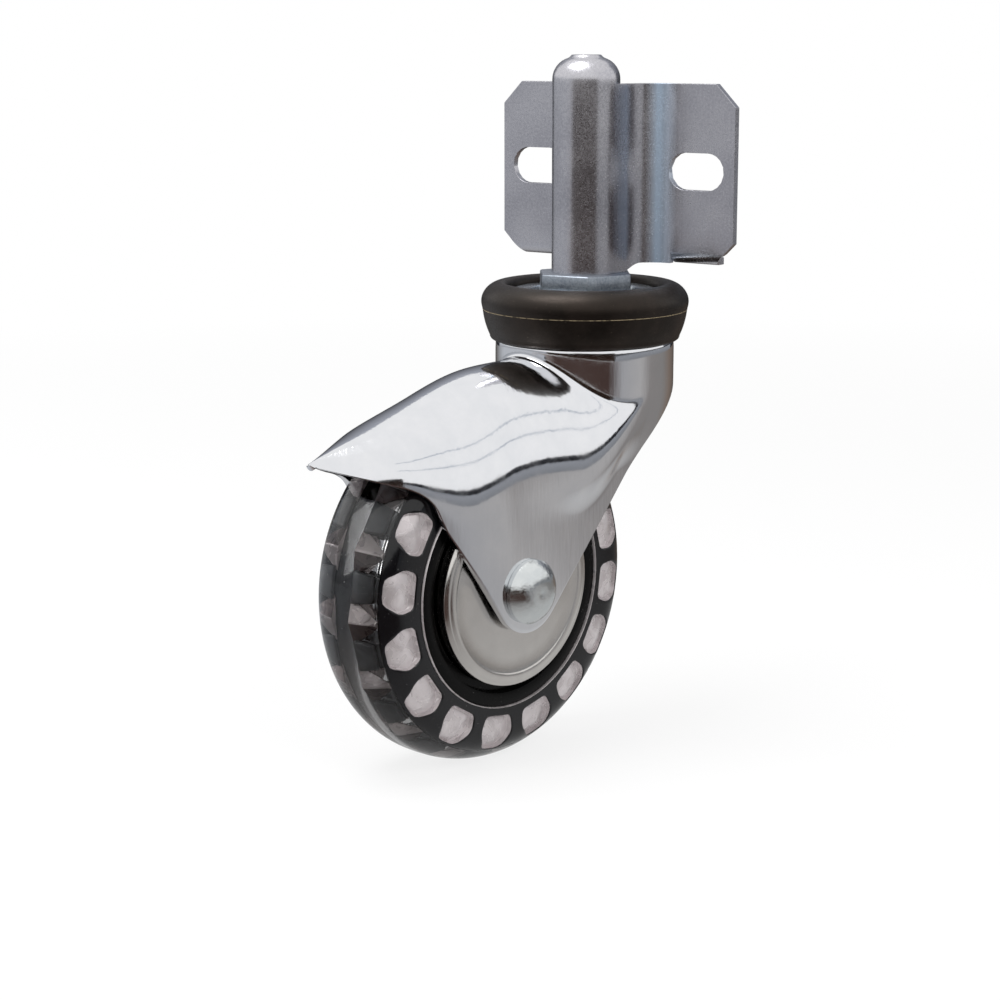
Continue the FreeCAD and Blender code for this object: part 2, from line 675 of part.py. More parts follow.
def tyre():
    half = tyre_width / 2
    rim = rim_diameter / 2
    tread = wheel_diameter / 2
    rim_half = rim_width / 2
    channel = rim - rim_channel
    crown = []
    for side in (1, -1):
        flank = [Vector(side * (half - drop), 0, rim + share * (tread - rim)) for drop, share in tyre_side]
        curve = Part.BSplineCurve()
        curve.interpolate([Vector(side * rim_half, 0, rim)] + flank + [Vector(0, 0, tread)],
                          InitialTangent=Vector(side * 0.1, 0, 1),
                          FinalTangent=Vector(-side, 0, 0))
        crown.append(curve.toShape())
    key = [(-rim_half, rim), (-rim_half + rim_lip, rim), (-rim_half + rim_lip + rim_channel, channel),
           (rim_half - rim_lip - rim_channel, channel), (rim_half - rim_lip, rim), (rim_half, rim)]
    inner = Part.makePolygon([Vector(x, 0, r) for x, r in key])
    section = Part.Face(Part.Wire(Part.sortEdges(crown + inner.Edges)[0]))
    solid = section.revolve(Vector(0, 0, 0), Vector(1, 0, 0), 360)
    pockets = []
    for side in (1, -1):
        shape = window(side)
        for index in range(window_count):
            pocket = shape.copy()
            turn = (index + window_phase) * 360 / window_count
            pocket.rotate(Vector(0, 0, 0), Vector(1, 0, 0), turn)
            pockets.append(pocket)
    return on_axle(solid.cut(pockets))


def dust_cap(side):
    """Pressed steel disc with a crowned face and a rolled edge that snaps into the rim."""
    outer = cap_diameter / 2
    hole = cap_hole_diameter / 2
    face = rim_width / 2 + cap_proud
    profile = [
        (face + cap_crown, hole), (face + cap_crown, 0.55 * outer), (face, outer - 1.2),
        (face - 0.5, outer), (face - cap_flange, outer), (face - cap_flange, outer - cap_sheet),
        (face - cap_sheet - 0.4, outer - cap_sheet), (face - cap_sheet, outer - 1.6),
        (face + cap_crown - cap_sheet, 0.55 * outer), (face + cap_crown - cap_sheet, hole),
    ]
    return on_axle(revolve_x([(side * x, r) for x, r in profile]))


def main():
    os.makedirs("parts", exist_ok=True)
    save("mounting_bracket", mounting_bracket())
    save("stem", stem())
    save("grip_ring", grip_ring())
    save("upper_race", upper_race())
    save("upper_balls", on_fork(ball_ring(ball_diameter, ball_circle, ball_count, ball_level)))
    save("fork_hood", fork_hood())
    save("lower_balls", on_fork(ball_ring(small_ball_diameter, small_ball_circle, small_ball_count,
                                          small_ball_level)))
    save("lower_race", lower_race())
    save("bumper_ring", bumper_ring())
    save("axle_rivet", axle_rivet())
    save("axle_tube", axle_tube())
    save("bearing_spacer", bearing_spacer())
    save("wheel_core", wheel_core())
    save("tyre", tyre())
    for name, side in (("right", 1), ("left", -1)):
        save("side_washer_" + name, side_washer(side))
        save("bearing_inner_" + name, bearing_inner(side))
        save("bearing_outer_" + name, bearing_outer(side))
        save("bearing_balls_" + name, bearing_balls(side))
        save("dust_cap_" + name, dust_cap(side))


main()
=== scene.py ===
# %% [markdown]
# # A hooded swivel castor
# The castor has a chrome pressed hood, a wheel with a smoked soft tyre, a rubber ring round its swivel
# bearing, and a zinc-plated bracket that screws to the side of a panel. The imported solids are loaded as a
# fixed frame. New pieces lie on the same dimensions, and the solids that stay get finishes.

import math

import bmesh
import bpy
from mathutils import Matrix, Vector


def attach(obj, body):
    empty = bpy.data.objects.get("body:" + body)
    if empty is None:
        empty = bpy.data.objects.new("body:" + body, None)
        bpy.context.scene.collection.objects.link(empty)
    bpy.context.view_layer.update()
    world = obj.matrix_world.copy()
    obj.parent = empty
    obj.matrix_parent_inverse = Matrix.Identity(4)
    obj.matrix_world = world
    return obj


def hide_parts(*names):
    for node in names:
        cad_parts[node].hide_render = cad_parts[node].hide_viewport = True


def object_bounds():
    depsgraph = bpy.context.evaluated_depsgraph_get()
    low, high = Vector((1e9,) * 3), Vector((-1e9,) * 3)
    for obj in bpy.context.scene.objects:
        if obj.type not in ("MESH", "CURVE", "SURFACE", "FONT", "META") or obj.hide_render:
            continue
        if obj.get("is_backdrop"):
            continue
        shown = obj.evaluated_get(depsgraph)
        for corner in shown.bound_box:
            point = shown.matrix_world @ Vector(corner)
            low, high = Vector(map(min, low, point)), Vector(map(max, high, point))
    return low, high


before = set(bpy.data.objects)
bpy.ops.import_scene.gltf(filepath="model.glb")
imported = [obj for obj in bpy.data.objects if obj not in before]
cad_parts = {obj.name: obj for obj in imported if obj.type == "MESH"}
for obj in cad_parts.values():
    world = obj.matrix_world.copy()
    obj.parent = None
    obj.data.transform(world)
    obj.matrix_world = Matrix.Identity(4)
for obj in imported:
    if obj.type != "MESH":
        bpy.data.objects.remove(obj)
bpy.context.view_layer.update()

# %% [markdown]
# ## Places on the castor
# Three frames carry everything. The bracket's back face holds the origin. The fork turns about an upright
# axis in front of it, a little to one side at rest. The wheel turns about the axle in the fork. Each new
# piece is drawn about its own axis in millimetres, then one matrix puts its mesh where it belongs.

# %% Millimetres, and the three frames
MM = 0.001
AXIS_BEHIND = 12.77
REST_TURN = math.radians(-8.7)
TRAIL = 33.2
AXLE = -81.5

on_bracket = Matrix.Scale(MM, 4) @ Matrix.Translation((0, -AXIS_BEHIND, 0))
on_fork = on_bracket @ Matrix.Rotation(REST_TURN, 4, "Z")
on_axle = on_fork @ Matrix.Translation((0, -TRAIL, AXLE))
print("axle at", [round(v, 4) for v in on_axle.translation])

# %% [markdown]
# ## From a mesh to a piece
# A finished piece is an object at the origin with its place in its mesh, as the solids have. Doubles are
# merged and the faces are turned outwards before any wall gets its thickness. An open sheet has no inside
# to go by, so there the highest face must look up. Smooth shading with sharp edges by angle keeps turned
# faces round and sheared edges crisp.

# %% Make a piece from a bmesh
def piece(name, bm, place, body, material, sharp=35, open_sheet=False):
    bmesh.ops.remove_doubles(bm, verts=bm.verts, dist=0.002)
    bmesh.ops.recalc_face_normals(bm, faces=bm.faces)
    highest = max(bm.faces, key=lambda face: face.calc_center_median().z)
    if open_sheet and highest.normal.z < 0:
        bmesh.ops.reverse_faces(bm, faces=bm.faces)
    bmesh.ops.transform(bm, matrix=place, verts=bm.verts)
    mesh = bpy.data.meshes.new(name)
    bm.to_mesh(mesh)
    bm.free()
    mesh.shade_smooth()
    mesh.set_sharp_from_angle(angle=math.radians(sharp))
    made = bpy.data.objects.new(name, mesh)
    bpy.context.scene.collection.objects.link(made)
    for finish in material if isinstance(material, (list, tuple)) else [material]:
        mesh.materials.append(finish)
    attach(made, body)
    print(name, "faces", len(mesh.polygons))
    return made


# %% Turn a profile about an axis
def turned(profile, axis, steps=128, closed=True):
    """Profile points are (radius, height) about Z, or (side, radius) about X."""
    bm = bmesh.new()
    if axis == "Z":
        points = [Vector((radius, 0, height)) for radius, height in profile]
        direction = Vector((0, 0, 1))
    else:
        points = [Vector((side, 0, radius)) for side, radius in profile]
        direction = Vector((1, 0, 0))
    ring = [bm.verts.new(point) for point in points]
    ends = ring[1:] + ring[:1] if closed else ring[1:]
    edges = [bm.edges.new(pair) for pair in zip(ring, ends)]
    bmesh.ops.spin(bm, geom=ring + edges, cent=(0, 0, 0), axis=direction, angle=2 * math.pi,
                   steps=steps, use_merge=True)
    return bm


# %% Round a corner of a profile
def arc(start, middle, end, count=8):
    """Points on the circle through three points, the first one left out."""
    (ax, ay), (bx, by), (cx, cy) = start, middle, end
    d = 2 * (ax * (by - cy) + bx * (cy - ay) + cx * (ay - by))
    ux = ((ax**2 + ay**2) * (by - cy) + (bx**2 + by**2) * (cy - ay) + (cx**2 + cy**2) * (ay - by)) / d
    uy = ((ax**2 + ay**2) * (cx - bx) + (bx**2 + by**2) * (ax - cx) + (cx**2 + cy**2) * (bx - ax)) / d
    radius = math.hypot(ax - ux, ay - uy)
    first = math.atan2(ay - uy, ax - ux)
    sweep = math.atan2(cy - uy, cx - ux) - first
    sweep = (sweep + math.pi) % (2 * math.pi) - math.pi
    return [(ux + radius * math.cos(first + sweep * k / count),
             uy + radius * math.sin(first + sweep * k / count)) for k in range(1, count + 1)]


# %% [markdown]
# ## Finishes
# Colours are written as sRGB hex values, as a maker's colour card gives them, and one function turns them
# to linear light. One small function adds a node with its settings and links. Every pattern is scaled
# from a real size in millimetres on Object coordinates, so it sits still on the piece.

# %% Colours and nodes
def colour(code):
    parts = [int(code[i:i + 2], 16) / 255 for i in (1, 3, 5)]
    return [p / 12.92 if p <= 0.04045 else ((p + 0.055) / 1.055) ** 2.4 for p in parts] + [1.0]


def add(tree, kind, inputs=None, **settings):
    made = tree.nodes.new("ShaderNode" + kind)
    for name, value in settings.items():
        setattr(made, name, value)
    for name, value in (inputs or {}).items():
        if isinstance(value, bpy.types.NodeSocket):
            tree.links.new(value, made.inputs[name])
        else:
            made.inputs[name].default_value = value
    return made


def finish(name, **constants):
    material = bpy.data.materials.new(name)
    material.use_nodes = True
    shader = material.node_tree.nodes["Principled BSDF"]
    for socket, value in constants.items():
        shader.inputs[socket.replace("_", " ")].default_value = value
    return material, material.node_tree, shader


def per_mm(size):
    """Noise scale whose blotches are about this many millimetres wide."""
    return 1000 / size


# %% [markdown]
# ### Bright chrome
# The hood is deep drawn from steel sheet, polished, and plated with nickel and chromium. It mirrors the
# room. Pressing leaves soft waves some 16 mm long, which bend the reflections. Polishing across the sheet
# leaves short wipes about a millimetre wide, which fray the edge of a dark reflection.

# %% Chrome
chrome, tree, shader = finish("chrome_plated_steel", Metallic=1.0)
where = add(tree, "TexCoord").outputs["Object"]
waves = add(tree, "TexNoise", {"Vector": where, "Scale": per_mm(16), "Detail": 1.0, "Roughness": 0.4})
haze = add(tree, "TexNoise", {"Vector": where, "Scale": per_mm(6), "Detail": 5.0, "Roughness": 0.6})
upright = add(tree, "Mapping", {"Vector": where, "Scale": (1.0, 1.0, 0.12)})
wipes = add(tree, "TexNoise", {"Vector": upright.outputs["Vector"], "Scale": per_mm(0.9), "Detail": 3.0,
                               "Roughness": 0.55})
tint = add(tree, "Mix", {0: haze.outputs["Fac"], 6: colour("#DADCE0"), 7: colour("#EDEDEF")}, data_type="RGBA")
rough = add(tree, "MapRange", {"Value": haze.outputs["Fac"], 1: 0.35, 2: 0.7, 3: 0.045, 4: 0.13})
swell = add(tree, "Bump", {"Height": waves.outputs["Fac"], "Strength": 0.3, "Distance": 0.0006})
fine = add(tree, "Bump", {"Height": wipes.outputs["Fac"], "Strength": 0.2, "Distance": 0.0001,
                          "Normal": swell.outputs["Normal"]})
tree.links.new(tint.outputs[2], shader.inputs["Base Color"])
tree.links.new(rough.outputs[0], shader.inputs["Roughness"])
tree.links.new(fine.outputs["Normal"], shader.inputs["Normal"])
print(chrome.name)

# %% [markdown]
# ### Zinc plate with blue passivation
# The bracket and the stem are electroplated with zinc. The film is a few thousandths of a millimetre, dull
# and slightly blue, with cloudy blotches, fine specks, and upright marks where the pocket was drawn.

# %% Zinc
def zinc_finish(name, low, high, smooth_end, rough_end, draw):
    material, tree, shader = finish(name, Metallic=1.0)
    where = add(tree, "TexCoord").outputs["Object"]
    cloud = add(tree, "TexNoise", {"Vector": where, "Scale": per_mm(12), "Detail": 3.0, "Roughness": 0.5})
    speck = add(tree, "TexNoise", {"Vector": where, "Scale": per_mm(0.5), "Detail": 3.0, "Roughness": 0.65})
    upright = add(tree, "Mapping", {"Vector": where, "Scale": (1.0, 1.0, 0.03)})
    streak = add(tree, "TexNoise", {"Vector": upright.outputs["Vector"], "Scale": per_mm(0.8), "Detail": 2.0,
                                    "Roughness": 0.5})
    share = add(tree, "Math", {0: cloud.outputs["Fac"], 1: 0.45}, operation="MULTIPLY")
    mixed = add(tree, "Math", {0: speck.outputs["Fac"], 1: 0.55, 2: share.outputs[0]},
                operation="MULTIPLY_ADD")
    spread = add(tree, "MapRange", {"Value": mixed.outputs[0], 1: 0.36, 2: 0.64, 3: 0.0, 4: 1.0})
    tint = add(tree, "Mix", {0: spread.outputs[0], 6: colour(low), 7: colour(high)}, data_type="RGBA")
    rough = add(tree, "MapRange", {"Value": mixed.outputs[0], 1: 0.35, 2: 0.65, 3: smooth_end, 4: rough_end})
    marks = add(tree, "Bump", {"Height": streak.outputs["Fac"], "Strength": draw, "Distance": 0.0001})
    grain = add(tree, "Bump", {"Height": speck.outputs["Fac"], "Strength": 0.1, "Distance": 0.0001,
                               "Normal": marks.outputs["Normal"]})
    tree.links.new(tint.outputs[2], shader.inputs["Base Color"])
    tree.links.new(rough.outputs[0], shader.inputs["Roughness"])
    tree.links.new(grain.outputs["Normal"], shader.inputs["Normal"])
    return material


zinc = zinc_finish("zinc_plated_sheet", "#B3B2B8", "#CCCBD0", 0.2, 0.3, 0.12)
bright_zinc = zinc_finish("zinc_plated_turned", "#B9C0C5", "#DCE2E6", 0.16, 0.28, 0.03)
# A darker, bluer grey copy of the zinc, used on the hexagon.
darker_zinc = zinc_finish("zinc_plated_darker", "#79808A", "#A9B0B8", 0.3, 0.42, 0.1)
print(zinc.name, bright_zinc.name, darker_zinc.name)

# %% [markdown]
# The passivation dips the zinc in a bath that leaves a film thin enough to show colours. In the hollow
# beside the pocket a sky blue is painted on the zinc, with less metal, as a painted reflection of blue light
# that falls there. The distance from the pocket's axis gives that place.

# %% Painted blue reflection in the hollow
tree = zinc.node_tree
shader = tree.nodes["Principled BSDF"]
plain = shader.inputs["Base Color"].links[0].from_socket
where = add(tree, "TexCoord").outputs["Object"]
across = add(tree, "SeparateXYZ", {0: where})
aside = add(tree, "Math", {0: across.outputs["X"]}, operation="ABSOLUTE")
# Painted reflection: a band 9 to 15 mm from the pocket's axis gets a sky blue tint and less metal.
inside = add(tree, "MapRange", {"Value": aside.outputs[0], 1: 0.0088, 2: 0.0108, 3: 0.0, 4: 1.0})
beyond = add(tree, "MapRange", {"Value": aside.outputs[0], 1: 0.0115, 2: 0.0155, 3: 1.0, 4: 0.0})
blue_reflection_mask = add(tree, "Math", {0: inside.outputs[0], 1: beyond.outputs[0]}, operation="MULTIPLY")
blue_reflection_mask = add(tree, "Math", {0: blue_reflection_mask.outputs[0], 1: 0.75}, operation="MULTIPLY")
painted_blue_reflection = add(tree, "Mix", {0: blue_reflection_mask.outputs[0], 6: plain, 7: colour("#A3BBD3")}, data_type="RGBA")
mirror = add(tree, "Math", {0: blue_reflection_mask.outputs[0], 1: -0.7, 2: 1.0}, operation="MULTIPLY_ADD")
tree.links.new(painted_blue_reflection.outputs[2], shader.inputs["Base Color"])
tree.links.new(mirror.outputs[0], shader.inputs["Metallic"])
print("film on", zinc.name)

# %% [markdown]
# ### Satin and bright steel
# The wheel's dust discs are pressed from stainless sheet with a satin face and a burnished rolled edge. The
# rivet's head is upset in a die, which leaves it bright with scuffs. Bearing parts are ground steel.

# %% Steels
def steel_finish(name, low, high, smooth_end, rough_end, scuff_mm, scuff):
    material, tree, shader = finish(name, Metallic=1.0)
    where = add(tree, "TexCoord").outputs["Object"]
    cloud = add(tree, "TexNoise", {"Vector": where, "Scale": per_mm(6), "Detail": 3.0, "Roughness": 0.5})
    scuffs = add(tree, "TexNoise", {"Vector": where, "Scale": per_mm(scuff_mm), "Detail": 4.0,
                                    "Roughness": 0.65, "Distortion": 1.2})
    tint = add(tree, "Mix", {0: cloud.outputs["Fac"], 6: colour(low), 7: colour(high)}, data_type="RGBA")
    rough = add(tree, "MapRange", {"Value": scuffs.outputs["Fac"], 1: 0.35, 2: 0.65, 3: smooth_end,
                                   4: rough_end})
    dents = add(tree, "Bump", {"Height": scuffs.outputs["Fac"], "Strength": scuff, "Distance": 0.0002})
    tree.links.new(tint.outputs[2], shader.inputs["Base Color"])
    tree.links.new(rough.outputs[0], shader.inputs["Roughness"])
    tree.links.new(dents.outputs["Normal"], shader.inputs["Normal"])
    return material


satin_steel = steel_finish("satin_stainless_disc", "#C9C6C2", "#DCD9D5", 0.17, 0.24, 0.5, 0.04)
rivet_steel = steel_finish("upset_rivet_steel", "#C2C8CA", "#E6E8E7", 0.1, 0.26, 1.8, 0.4)
bearing_steel = steel_finish("ground_bearing_steel", "#B5B6B6", "#C9CACA", 0.08, 0.16, 0.6, 0.02)
print(satin_steel.name, rivet_steel.name, bearing_steel.name)

# %% [markdown]
# ### Rubber, moulded plastic and cast polyurethane
# The ring is moulded nitrile rubber, matt with a dusty brown-grey bloom. The wheel's core is injection
# moulded nylon, glossy black. The tyre is cast polyurethane: black inside, and under a clear smoked skin
# towards the tread. Its windows are lined with a silvery film.

# %% Rubber
rubber, tree, shader = finish("moulded_nitrile_rubber", IOR=1.5, Specular_IOR_Level=0.45,
                              Specular_Tint=colour("#E8D4C6"))
where = add(tree, "TexCoord").outputs["Object"]
bloom = add(tree, "TexNoise", {"Vector": where, "Scale": per_mm(6), "Detail": 5.0, "Roughness": 0.6})
pores = add(tree, "TexNoise", {"Vector": where, "Scale": per_mm(0.45), "Detail": 2.0, "Roughness": 0.6})
dust = add(tree, "MapRange", {"Value": bloom.outputs["Fac"], 1: 0.42, 2: 0.8, 3: 0.0, 4: 1.0})
crumbs = add(tree, "MapRange", {"Value": pores.outputs["Fac"], 1: 0.7, 2: 0.78, 3: 0.0, 4: 0.5})
tint = add(tree, "Mix", {0: dust.outputs[0], 6: colour("#080706"), 7: colour("#1C1714")}, data_type="RGBA")
dusted = add(tree, "Mix", {0: crumbs.outputs[0], 6: tint.outputs[2], 7: colour("#5F574C")}, data_type="RGBA")
rough = add(tree, "MapRange", {"Value": pores.outputs["Fac"], 1: 0.3, 2: 0.7, 3: 0.34, 4: 0.5})
skin_bump = add(tree, "Bump", {"Height": pores.outputs["Fac"], "Strength": 0.15, "Distance": 0.0001})
tree.links.new(dusted.outputs[2], shader.inputs["Base Color"])
tree.links.new(rough.outputs[0], shader.inputs["Roughness"])
tree.links.new(skin_bump.outputs["Normal"], shader.inputs["Normal"])
print(rubber.name)

# %% The seam's dusty bead
seam_dust, tree, shader = finish("dusty_mould_seam", IOR=1.5, Roughness=0.8, Specular_IOR_Level=0.2)
where = add(tree, "TexCoord").outputs["Object"]
dots = add(tree, "TexNoise", {"Vector": where, "Scale": per_mm(1.4), "Detail": 3.0, "Roughness": 0.7})
spots = add(tree, "MapRange", {"Value": dots.outputs["Fac"], 1: 0.34, 2: 0.52, 3: 0.0, 4: 1.0})
tint = add(tree, "Mix", {0: spots.outputs[0], 6: colour("#2E281F"), 7: colour("#83765F")}, data_type="RGBA")
tree.links.new(tint.outputs[2], shader.inputs["Base Color"])
print(seam_dust.name)


# %% Glossy blacks
def black_finish(name, low, high, smooth_end, rough_end, specular):
    material, tree, shader = finish(name, IOR=1.5, Specular_IOR_Level=specular)
    where = add(tree, "TexCoord").outputs["Object"]
    flow = add(tree, "TexNoise", {"Vector": where, "Scale": per_mm(8), "Detail": 3.0, "Roughness": 0.5})
    motes = add(tree, "TexNoise", {"Vector": where, "Scale": per_mm(0.35), "Detail": 1.0, "Roughness": 0.5})
    fleck = add(tree, "MapRange", {"Value": motes.outputs["Fac"], 1: 0.74, 2: 0.8, 3: 0.0, 4: 0.35})
    base = add(tree, "Mix", {0: flow.outputs["Fac"], 6: colour(low), 7: colour(high)}, data_type="RGBA")
    tint = add(tree, "Mix", {0: fleck.outputs[0], 6: base.outputs[2], 7: colour("#8A8784")}, data_type="RGBA")
    rough = add(tree, "MapRange", {"Value": flow.outputs["Fac"], 1: 0.3, 2: 0.7, 3: smooth_end, 4: rough_end})
    tree.links.new(tint.outputs[2], shader.inputs["Base Color"])
    tree.links.new(rough.outputs[0], shader.inputs["Roughness"])
    return material


rim_black = black_finish("moulded_black_nylon", "#040404", "#080808", 0.2, 0.3, 0.12)
tyre_black = black_finish("cast_black_polyurethane", "#08080A", "#101013", 0.1, 0.2, 0.45)
print(rim_black.name, tyre_black.name)


# %% Silvered window linings
def lining_finish(name, low, high, smooth_end, rough_end, metal, crease_mm=0.6):
    material, tree, shader = finish(name, Metallic=metal)
    where = add(tree, "TexCoord").outputs["Object"]
    fold = add(tree, "TexNoise", {"Vector": where, "Scale": per_mm(3.5), "Detail": 2.0, "Roughness": 0.5,
                                  "Distortion": 0.8})
    tint = add(tree, "Mix", {0: fold.outputs["Fac"], 6: colour(low), 7: colour(high)}, data_type="RGBA")
    rough = add(tree, "MapRange", {"Value": fold.outputs["Fac"], 1: 0.3, 2: 0.7, 3: smooth_end, 4: rough_end})
    crease = add(tree, "Bump", {"Height": fold.outputs["Fac"], "Strength": 0.3, "Distance": crease_mm / 1000})
    tree.links.new(tint.outputs[2], shader.inputs["Base Color"])
    tree.links.new(rough.outputs[0], shader.inputs["Roughness"])
    tree.links.new(crease.outputs["Normal"], shader.inputs["Normal"])
    return material


# The silvered lining of the windows, also put on the tyre's bead as a painted highlight.
lining_and_bead_highlight = lining_finish("silvered_lining_and_bead_highlight", "#A9A1A2", "#E6E0E1", 0.2, 0.34, 0.5, 0.1)
gable_film = lining_finish("silvered_facet_film", "#C9BFBE", "#F0E7E6", 0.2, 0.36, 0.4)
# A darker brown copy of the facet film: painted shade on one slope of each gable.
shaded_facet_film = lining_finish("facet_film_painted_shade", "#54494A", "#857876", 0.2, 0.36, 0.4)
smoke_pad = lining_finish("smoked_grey_patch", "#4A4C4E", "#6E7173", 0.3, 0.45, 0.1)
print(lining_and_bead_highlight.name, gable_film.name, shaded_facet_film.name, smoke_pad.name)

# %% Clear smoked skin
clear, tree, shader = finish("clear_smoked_polyurethane", IOR=1.46, Transmission_Weight=1.0)
where = add(tree, "TexCoord").outputs["Object"]
flow = add(tree, "TexNoise", {"Vector": where, "Scale": per_mm(10), "Detail": 2.0, "Roughness": 0.5})
motes = add(tree, "TexNoise", {"Vector": where, "Scale": per_mm(0.4), "Detail": 1.0, "Roughness": 0.5})
rough = add(tree, "MapRange", {"Value": motes.outputs["Fac"], 1: 0.7, 2: 0.8, 3: 0.02, 4: 0.3})
tint = add(tree, "Mix", {0: flow.outputs["Fac"], 6: colour("#9C9C9E"), 7: colour("#B6B6B6")}, data_type="RGBA")
swell = add(tree, "Bump", {"Height": flow.outputs["Fac"], "Strength": 0.12, "Distance": 0.0005})
tree.links.new(tint.outputs[2], shader.inputs["Base Color"])
tree.links.new(rough.outputs[0], shader.inputs["Roughness"])
tree.links.new(swell.outputs["Normal"], shader.inputs["Normal"])
print(clear.name)

# %% [markdown]
# ## The hood
# A press draws the hood from one flat blank: a round neck at the back, a ridge that falls to a pointed nose,
# and two flat legs. In Blender a subdivided grid takes that shape when each point is sent to its place on
# a surface. The surface is known from sections across the hood, so the highlight runs evenly over it.
# Half of it is made, mirrored, and a Solidify modifier gives the sheet's thickness.

# %% The hood's values, in millimetres
SEAM = -28.6
NECK = 18.9
NECK_STEP = 1.9
REACH = 77.4
SHOULDER = -37.4
NOSE_DROP = 14.3
LEG_FACE = 16.0
OGIVE = 40.4
FLANK_DEPTH = 24.0
LEG_ROUND = 8.6
HOOD_TOP = -31.2
RING_BOTTOM = -35.0
SHEET = 1.5
BEND = 0.27
SOFTNESS = 0.1
CROWN, DEEP_CROWN = 6.5, 23.5
ARCH = (OGIVE**2 + LEG_FACE**2) / (2 * LEG_FACE)
NOSE = SHOULDER - NOSE_DROP


# %% Sections across the hood
def smooth(value):
    value = min(max(value, 0.0), 1.0)
    return value * value * (3 - 2 * value)


def section(ahead):
    """Half width, flank, top, crown depth and squareness of the hood at a distance ahead of its axis."""
    ahead = max(ahead, 0.0)
    run = max(ahead - NECK, 0.0) / (REACH - NECK)
    level, fall, full = (math.hypot(place - BEND, SOFTNESS) + place for place in (0, run, 1))
    top = SHOULDER - NOSE_DROP * (fall - level) / (full - level)
    past = max(ahead - (REACH - OGIVE), 0.0)
    flank = math.sqrt(max(ARCH**2 - past**2, 0.0)) - (ARCH - LEG_FACE)
    along = smooth(ahead / (REACH - OGIVE))
    near, late = math.sqrt(smooth(ahead / 20)), smooth((ahead - 46) / 18)
    wide = flank + (NECK - LEG_FACE) * (1 - along)
    crown = CROWN + near * (DEEP_CROWN - CROWN)
    crown += late * (0.8 * (top - (SHOULDER - FLANK_DEPTH)) - crown)
    return wide, max(flank, 0.0), top, crown, 2.8 - 0.8 * near + 0.2 * late


DROP_STEP = 20.0


def hood_point(ahead, down):
    """A point on the hood. Down runs from 0 on the ridge to 1 at the crown's edge, then on down the flank."""
    wide, flank, top, crown, power = section(ahead)
    if down <= 1:
        turn = down * math.pi / 2
        side = wide * math.sin(turn) ** (2 / power)
        height = top - crown * (1 - max(math.cos(turn), 0.0) ** (2 / power))
    else:
        drop = (down - 1) * DROP_STEP
        fall = drop / max(top - crown - SHOULDER + FLANK_DEPTH, 8)
        side = wide + (flank - wide) * smooth(fall)
        height = top - crown - drop
    if ahead >= 0:
        return Vector((side, -ahead, height))
    if down <= 1:
        side, height = NECK, SHOULDER - CROWN * down
    swing = -ahead / NECK
    return Vector((side * math.cos(swing), side * math.sin(swing), height))


print("neck side", hood_point(0, 1), "nose", hood_point(REACH - 0.2, 0))

# %% [markdown]
# The rim of the hood is one line in side view: the lip under the nose, the leg's straight front edge, its
# round end under the axle, the straight back edge, and the rise to the neck. Every point of the rim sits
# above one place on that line, so the line is a height for each distance along the hood.

# %% The rim in side view
def rim_curve(knots, slopes, place):
    """A smooth line through knots, with a slope at each, read at one place."""
    for (x0, z0), (x1, z1), s0, s1 in zip(knots, knots[1:], slopes, slopes[1:]):
        if place <= x1 or (x1, z1) == knots[-1]:
            t = (place - x0) / (x1 - x0)
            h = x1 - x0
            return (z0 * (1 + 2 * t) * (1 - t) ** 2 + s0 * h * t * (1 - t) ** 2
                    + z1 * t * t * (3 - 2 * t) + s1 * h * t * t * (t - 1))


FRONT_LEAN, BACK_LEAN = math.radians(56), math.radians(49)
front_end = (-TRAIL - LEG_ROUND * math.sin(FRONT_LEAN), AXLE - LEG_ROUND * math.cos(FRONT_LEAN))
back_end = (-TRAIL + LEG_ROUND * math.sin(BACK_LEAN), AXLE - LEG_ROUND * math.cos(BACK_LEAN))
front_knee = (front_end[0] - 23 * math.cos(FRONT_LEAN), front_end[1] + 23 * math.sin(FRONT_LEAN))
back_knee = (back_end[0] + 24 * math.cos(BACK_LEAN), back_end[1] + 24 * math.sin(BACK_LEAN))
lip = [(-REACH - 1, NOSE + 0.2), (-REACH + 3.7, NOSE - 1.4), (-REACH + 11.8, NOSE - 4.2),
       (-REACH + 17.4, NOSE - 6.2), (-REACH + 20.9, NOSE - 8.9), front_knee]
lip_slopes = [-0.3, -0.34, -0.33, -0.5, -1.2, -math.tan(FRONT_LEAN)]
rise = [back_knee, (4.5, SHOULDER - 14.1), (12.5, SHOULDER - 7.1), (20.5, SHOULDER - 4.1)]
rise_slopes = [math.tan(BACK_LEAN), 1.02, 0.7, 0.1]


def rim_height(place):
    if place < front_knee[0]:
        return rim_curve(lip, lip_slopes, place)
    if place < front_end[0]:
        return front_knee[1] - (place - front_knee[0]) * math.tan(FRONT_LEAN)
    if place < back_end[0]:
        return AXLE - math.sqrt(LEG_ROUND**2 - (place + TRAIL) ** 2)
    if place < back_knee[0]:
        return back_end[1] + (place - back_end[0]) * math.tan(BACK_LEAN)
    return rim_curve(rise, rise_slopes, place)


def rim_down(ahead):
    """How far down the hood's surface its rim lies, found by halving."""
    near, far = 0.0, 5.0
    for _ in range(40):
        middle = (near + far) / 2
        point = hood_point(ahead, middle)
        if point.z > rim_height(point.y):
            near = middle
        else:
            far = middle
    return near


print("rim at the axle", round(rim_height(-TRAIL), 2), "down", round(rim_down(TRAIL), 3))

# %% [markdown]
# A column of the grid starts on the ridge, or further back at the foot of the neck, and ends on the rim. The
# foot of the neck gets a small hollow fillet, as a drawing die leaves, because chrome shows that line as a
# dark band. The neck's wall, its step and the ball track follow as rings that are extruded upwards.

# %% Where the hood's columns start and end
NOSE_END = REACH - 0.45
HALF_TURN = NECK * math.pi / 2
FILLET = 1.3


